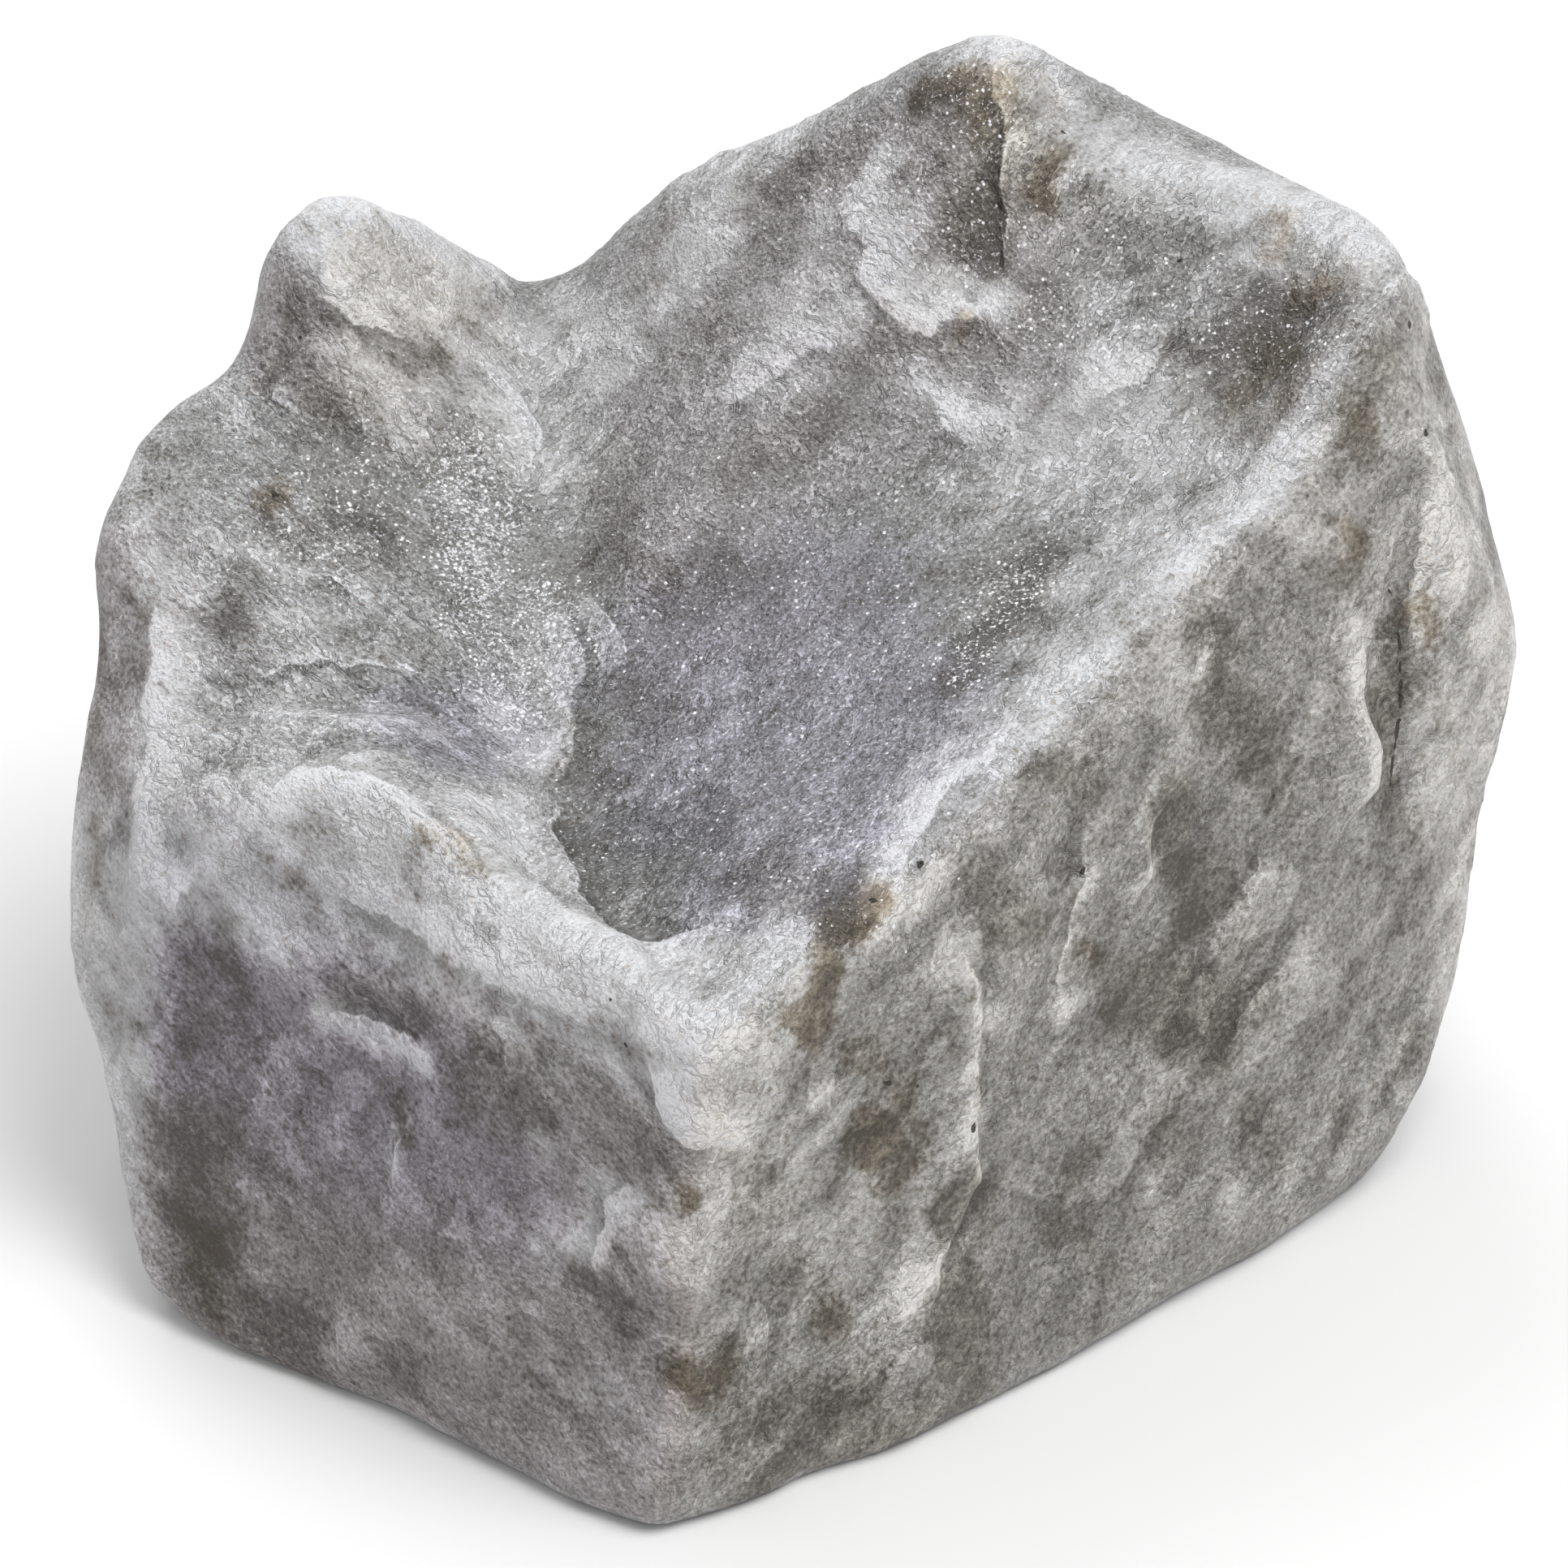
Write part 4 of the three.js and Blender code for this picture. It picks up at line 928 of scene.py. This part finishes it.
def close_material(sheet, feeds):
    """Ends a material with a surface that these values are fed to."""
    shader = sheet.node("ShaderNodeBsdfPrincipled", feeds)
    sheet.node("ShaderNodeOutputMaterial", {"Surface": shader.outputs[0]})


def kept(sheet, name, output="Fac"):
    """What the skin keeps under this name."""
    made = sheet.node("ShaderNodeAttribute", attribute_name=name, attribute_type="GEOMETRY")
    return made.outputs[output]


def grouped(sheet, group, **feeds):
    """What a node group makes of these values."""
    made = sheet.node("ShaderNodeGroup", node_tree=group)
    for name, value in feeds.items():
        sheet.feed(made.inputs[name.replace("_", " ")], value)
    return made.outputs[0]


def read_patterns(sheet):
    """The stone's own patterns and the way it faces, at each place of the skin."""
    skin = SimpleNamespace(place=sheet.scaled(kept(sheet, "rest", "Vector"), 1.0 / MM))
    for name in ("left_wall", "right_wall", "upward", "hind", "clouds", "streaks"):
        setattr(skin, name, kept(sheet, name))
    fibres = fibre_group()
    where = {"Place": skin.place, "Left_Part": kept(sheet, "left_part")}
    skin.wisps = grouped(sheet, fibres, **where, Stretch=2.0, Scale=1.8, Detail=2.0, Roughness=0.65)
    skin.hairs = grouped(sheet, fibres, **where, Stretch=1.7, Scale=8.0, Detail=0.0, Roughness=0.5)
    skin.grit = sheet.noise(skin.place, scale=9.0, detail=1.0, roughness=0.65)
    skin.flecks = sheet.span(skin.hairs, 0.34, 0.22)

    scales = scale_group()
    level = sheet.total(kept(sheet, "layer"), sheet.swing(skin.wisps, 0.3))
    layers = grouped(sheet, scales, Level=level, Fade=0.35)
    skin.layers = sheet.times(layers, kept(sheet, "layer_here"))
    small_level = sheet.times(sheet.total(skin.wisps, sheet.swing(skin.hairs, 0.06)), SMALL_FLAKE_LEVELS)
    small_scales = grouped(sheet, scales, Level=small_level, Fade=0.5)
    skin.small_scales = sheet.times(small_scales, sheet.span(skin.clouds, 0.38, 0.55))
    return skin


def read_marks(sheet, skin):
    """The painted marks, with their outlines broken up by the stone's own patterns."""
    marks = SimpleNamespace()
    ragged = sheet.total(
        sheet.swing(skin.clouds, 1.0),
        sheet.swing(skin.streaks, 0.6),
        sheet.swing(skin.wisps, 0.6),
        sheet.swing(skin.hairs, 0.3),
    )
    for name, low, high, raggedness in MARK_EDGES:
        strength = sheet.total(kept(sheet, name), sheet.times(ragged, raggedness))
        setattr(marks, name, sheet.span(strength, low, high))
    # Painted glints on upward faces, where the light from above would glitter off sugary grains.
    marks.sugary = kept(sheet, "sugar")
    painted_glint_grains = sheet.span(sheet.total(skin.grit, sheet.times(marks.sugary, 0.14)), 0.70, 0.75)
    marks.sugar = sheet.times(painted_glint_grains, skin.upward)
    return marks


def lip_light(sheet, skin):
    """Painted light that fades back from the lip of a scar, painted shade at the foot below it,
    and a painted highlight along it as a bright thread.

    Distances across the lip are in fades: under 0 behind it, over 0 below it.
    """
    edge = sheet.total(kept(sheet, "edge"), sheet.swing(skin.wisps, 0.5), sheet.swing(skin.hairs, 0.15))
    behind = sheet.math("EXPONENT", sheet.math("MINIMUM", edge, 0.0))
    lit = sheet.times(behind, sheet.span(edge, 0.0, 0.08, 1.0, 0.0))
    shade = sheet.times(sheet.span(edge, 0.0, 0.08), sheet.span(edge, 0.1, 0.8, -0.5, 0.0))
    thread = sheet.times(sheet.span(edge, -0.12, -0.03), sheet.span(edge, 0.0, 0.04, 0.6, 0.0))
    return sheet.times(sheet.total(lit, shade, thread), kept(sheet, "edge_light"))


def skin_tone(sheet, skin, marks):
    """The stone's lightness, from 0 to 1: its middle, and what each pattern and mark adds or takes away."""
    upward = skin.upward
    calm = sheet.span(marks.frost, 0.0, 1.0, 1.0, 0.5)
    height = sheet.along("Z", skin.place)
    crest = sheet.math("MINIMUM", sheet.math("MAXIMUM", kept(sheet, "crest"), -1.0), 1.0)
    return sheet.total(
        MIDDLE_TONE,
        sheet.swing(skin.clouds, sheet.blend(skin.hind, 0.4, 0.8)),
        sheet.swing(skin.streaks, sheet.blend(upward, 0.5, 0.26)),
        sheet.swing(skin.wisps, sheet.blend(upward, 0.24, 0.34)),
        sheet.swing(skin.hairs, sheet.times(calm, sheet.blend(upward, 0.32, 0.27))),
        sheet.swing(skin.grit, sheet.times(calm, sheet.blend(upward, 0.5, 0.7))),
        sheet.times(skin.flecks, sheet.times(calm, -0.04)),
        # Painted light and shade of the flakes over each other: light at their lips, shade at their feet.
        sheet.times(skin.small_scales, sheet.blend(upward, 0.08, 0.18)),
        sheet.times(skin.layers, sheet.blend(skin.hind, 0.06, 0.12)),
        # Painted light and shade at the lips of the flake scars.
        sheet.times(lip_light(sheet, skin), 0.3),
        # Frosted patches, and painted light on the ends, lighten the tone.
        sheet.times(marks.frost, 0.25),
        # Smoky patches darken the tone, with some painted shade among them.
        sheet.times(marks.smoke, -0.19),
        sheet.times(marks.stain, -0.08),
        sheet.times(marks.pocket, -0.16),
        sheet.times(marks.violet, -0.03),
        # Painted shade: both walls darkened against the top, which takes more of the light from above.
        sheet.times(skin.left_wall, -0.04),
        sheet.times(skin.right_wall, -0.04),
        sheet.times(sheet.span(height, *LOW_PART, 1.0, 0.0), -0.01),
        sheet.times(sheet.span(height, *FOOT_PART, 1.0, 0.0), -0.04),
        # Painted light: ridges that stand proud are lightened, partly for wear and partly for light shining
        # through the thin stone, and small crests for light catching on them.
        sheet.times(sheet.math("MAXIMUM", kept(sheet, "ridge"), 0.0), 0.12),
        sheet.times(crest, 0.03),
    )


def skin_colour(sheet, skin, marks):
    """The grey of the tone, tinged on the walls and in the marks and whitened by painted glints on the
    sugary grains.
    """
    ramp = sheet.node("ShaderNodeValToRGB", {"Fac": skin_tone(sheet, skin, marks)})
    for _ in SHADES[2:]:
        ramp.color_ramp.elements.new(0.5)
    for element, (position, shade) in zip(ramp.color_ramp.elements, SHADES):
        element.position = position
        element.color = shade
    colour = ramp.outputs["Color"]
    clear = sheet.span(marks.frost, 0.0, 1.0, 1.0, 0.25)
    for share, tinge in (
        (sheet.times(skin.left_wall, clear), (1.035, 0.975, 0.99, 1)),
        (skin.right_wall, (1.03, 1.0, 0.94, 1)),
        (sheet.times(marks.violet, clear), (0.97, 0.955, 1.07, 1)),
        (sheet.times(marks.smoke, 0.8), (1.0, 0.97, 0.91, 1)),
        (sheet.times(skin.flecks, 0.35), (0.85, 0.70, 0.55, 1)),
        (sheet.times(marks.stain, 0.8), (0.70, 0.60, 0.45, 1)),
    ):
        colour = sheet.tint(share, colour, tinge, "MULTIPLY")
    # Painted glints whiten the colour.
    return sheet.tint(sheet.times(marks.sugar, 0.6), colour, (0.88, 0.89, 0.93, 1))


def dot_skin(sheet, skin, marks, colour, pits, cracks_and_groove_shade):
    """The colour with painted white glints where the skin is sugary, and with dark dots, pits, cracks and
    the painted shade in the notch's groove.
    """
    specks = speck_group()
    # Larger painted glints: white specks standing for light glittering off sugary grains.
    painted_glint_share = sheet.times(marks.sugary, sheet.span(skin.wisps, 0.42, 0.62))
    painted_glint_specks = grouped(sheet, specks, Place=skin.place, Scale=5.5, Share=painted_glint_share, Size=0.4)
    colour = sheet.tint(sheet.times(painted_glint_specks, 0.9), colour, (0.95, 0.95, 0.97, 1))
    dotted = sheet.total(0.02, sheet.times(marks.stain, 0.25))
    dots = grouped(sheet, specks, Place=skin.place, Scale=1.1, Share=dotted, Size=0.10)
    # Dark dots, pits, cracks and the painted shade in the notch's groove.
    holes_and_groove_shade = sheet.math("MAXIMUM", dots, grouped(sheet, pit_group(pits, cracks_and_groove_shade), Place=skin.place))
    return sheet.tint(sheet.times(holes_and_groove_shade, 0.95), colour, (0.02, 0.015, 0.011, 1))


def hackmanite_material(pits, cracks_and_groove_shade):
    material, sheet = new_material("hackmanite_skin")
    skin = read_patterns(sheet)
    marks = read_marks(sheet, skin)
    colour = dot_skin(sheet, skin, marks, skin_colour(sheet, skin, marks), pits, cracks_and_groove_shade)
    height = sheet.total(
        sheet.swing(skin.wisps, 0.3),
        sheet.swing(skin.hairs, 0.06),
        sheet.swing(skin.grit, 0.14),
        sheet.times(skin.small_scales, 0.14),
    )
    bump = sheet.node("ShaderNodeBump", {"Strength": 0.8, "Distance": MM, "Height": height}).outputs[0]
    dullness = sheet.total(
        0.5, sheet.swing(skin.grit, 0.35), sheet.swing(skin.wisps, 0.3), sheet.times(marks.sugar, -0.2)
    )
    close_material(sheet, {"Base Color": colour, "Roughness": dullness, "Normal": bump, "IOR": 1.48})
    return material


# ---------------- stage, light and camera

FLOOR_SIZE = 4.0
ROOM_LIGHT = 0.62
LIGHT_TARGET = (0, 0, 0.015)

# The lamps: name, place, size and watts.
LAMPS = [
    ("key_softbox", (0.25, -0.15, 0.6), 0.5, 2.9),
    ("back_softbox", (-0.15, 0.45, 0.5), 0.4, 1.4),
]

CAMERA_TARGET = Vector((-0.35, -1.02, 14.3)) * MM
CAMERA_DISTANCE = 320 * MM
CAMERA_ELEVATION = math.radians(32)
LENS = 238.5
SENSOR_WIDTH = 36
NEAREST_SEEN = 0.01


def floor_material():
    material, sheet = new_material("pale_floor")
    place = sheet.node("ShaderNodeTexCoord").outputs["Object"]
    unevenness = sheet.noise(place, scale=6.0)
    colour = sheet.tint(unevenness, (0.84, 0.84, 0.84, 1), (0.86, 0.86, 0.86, 1))
    close_material(sheet, {"Base Color": colour, "Roughness": 0.9, "Specular IOR Level": 0.1})
    return material


def aim(piece, target):
    piece.rotation_euler = (Vector(target) - piece.location).to_track_quat("-Z", "Y").to_euler()


def make_floor():
    bpy.ops.object.select_all(action="DESELECT")
    bpy.ops.mesh.primitive_plane_add(size=FLOOR_SIZE, location=(0, 0, 0))
    floor = bpy.context.active_object
    floor.name = "floor"
    floor.data.materials.append(floor_material())
    return floor


def make_lights():
    world = bpy.data.worlds.new("soft_white_room")
    bpy.context.scene.world = world
    world.use_nodes = True
    background = world.node_tree.nodes["Background"]
    background.inputs["Color"].default_value = (1.0, 1.0, 1.0, 1)
    background.inputs["Strength"].default_value = ROOM_LIGHT
    for name, place, size, watts in LAMPS:
        light = bpy.data.objects.new(name, bpy.data.lights.new(name, "AREA"))
        light.data.shape = "DISK"
        light.data.size = size
        light.data.energy = watts
        light.location = place
        aim(light, LIGHT_TARGET)
        bpy.context.scene.collection.objects.link(light)


def make_camera():
    camera = bpy.data.objects.new("camera", bpy.data.cameras.new("camera"))
    camera.data.lens = LENS
    camera.data.sensor_width = SENSOR_WIDTH
    camera.data.clip_start = NEAREST_SEEN
    back = CAMERA_DISTANCE * math.cos(CAMERA_ELEVATION)
    up = CAMERA_DISTANCE * math.sin(CAMERA_ELEVATION)
    camera.location = CAMERA_TARGET + Vector((0, -back, up))
    aim(camera, CAMERA_TARGET)
    bpy.context.scene.collection.objects.link(camera)
    bpy.context.scene.camera = camera


make_camera()
make_lights()
floor = make_floor()

stone = make_stone()
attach(stone, "root")
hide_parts("hackmanite")

bpy.context.scene.view_settings.view_transform = "Standard"
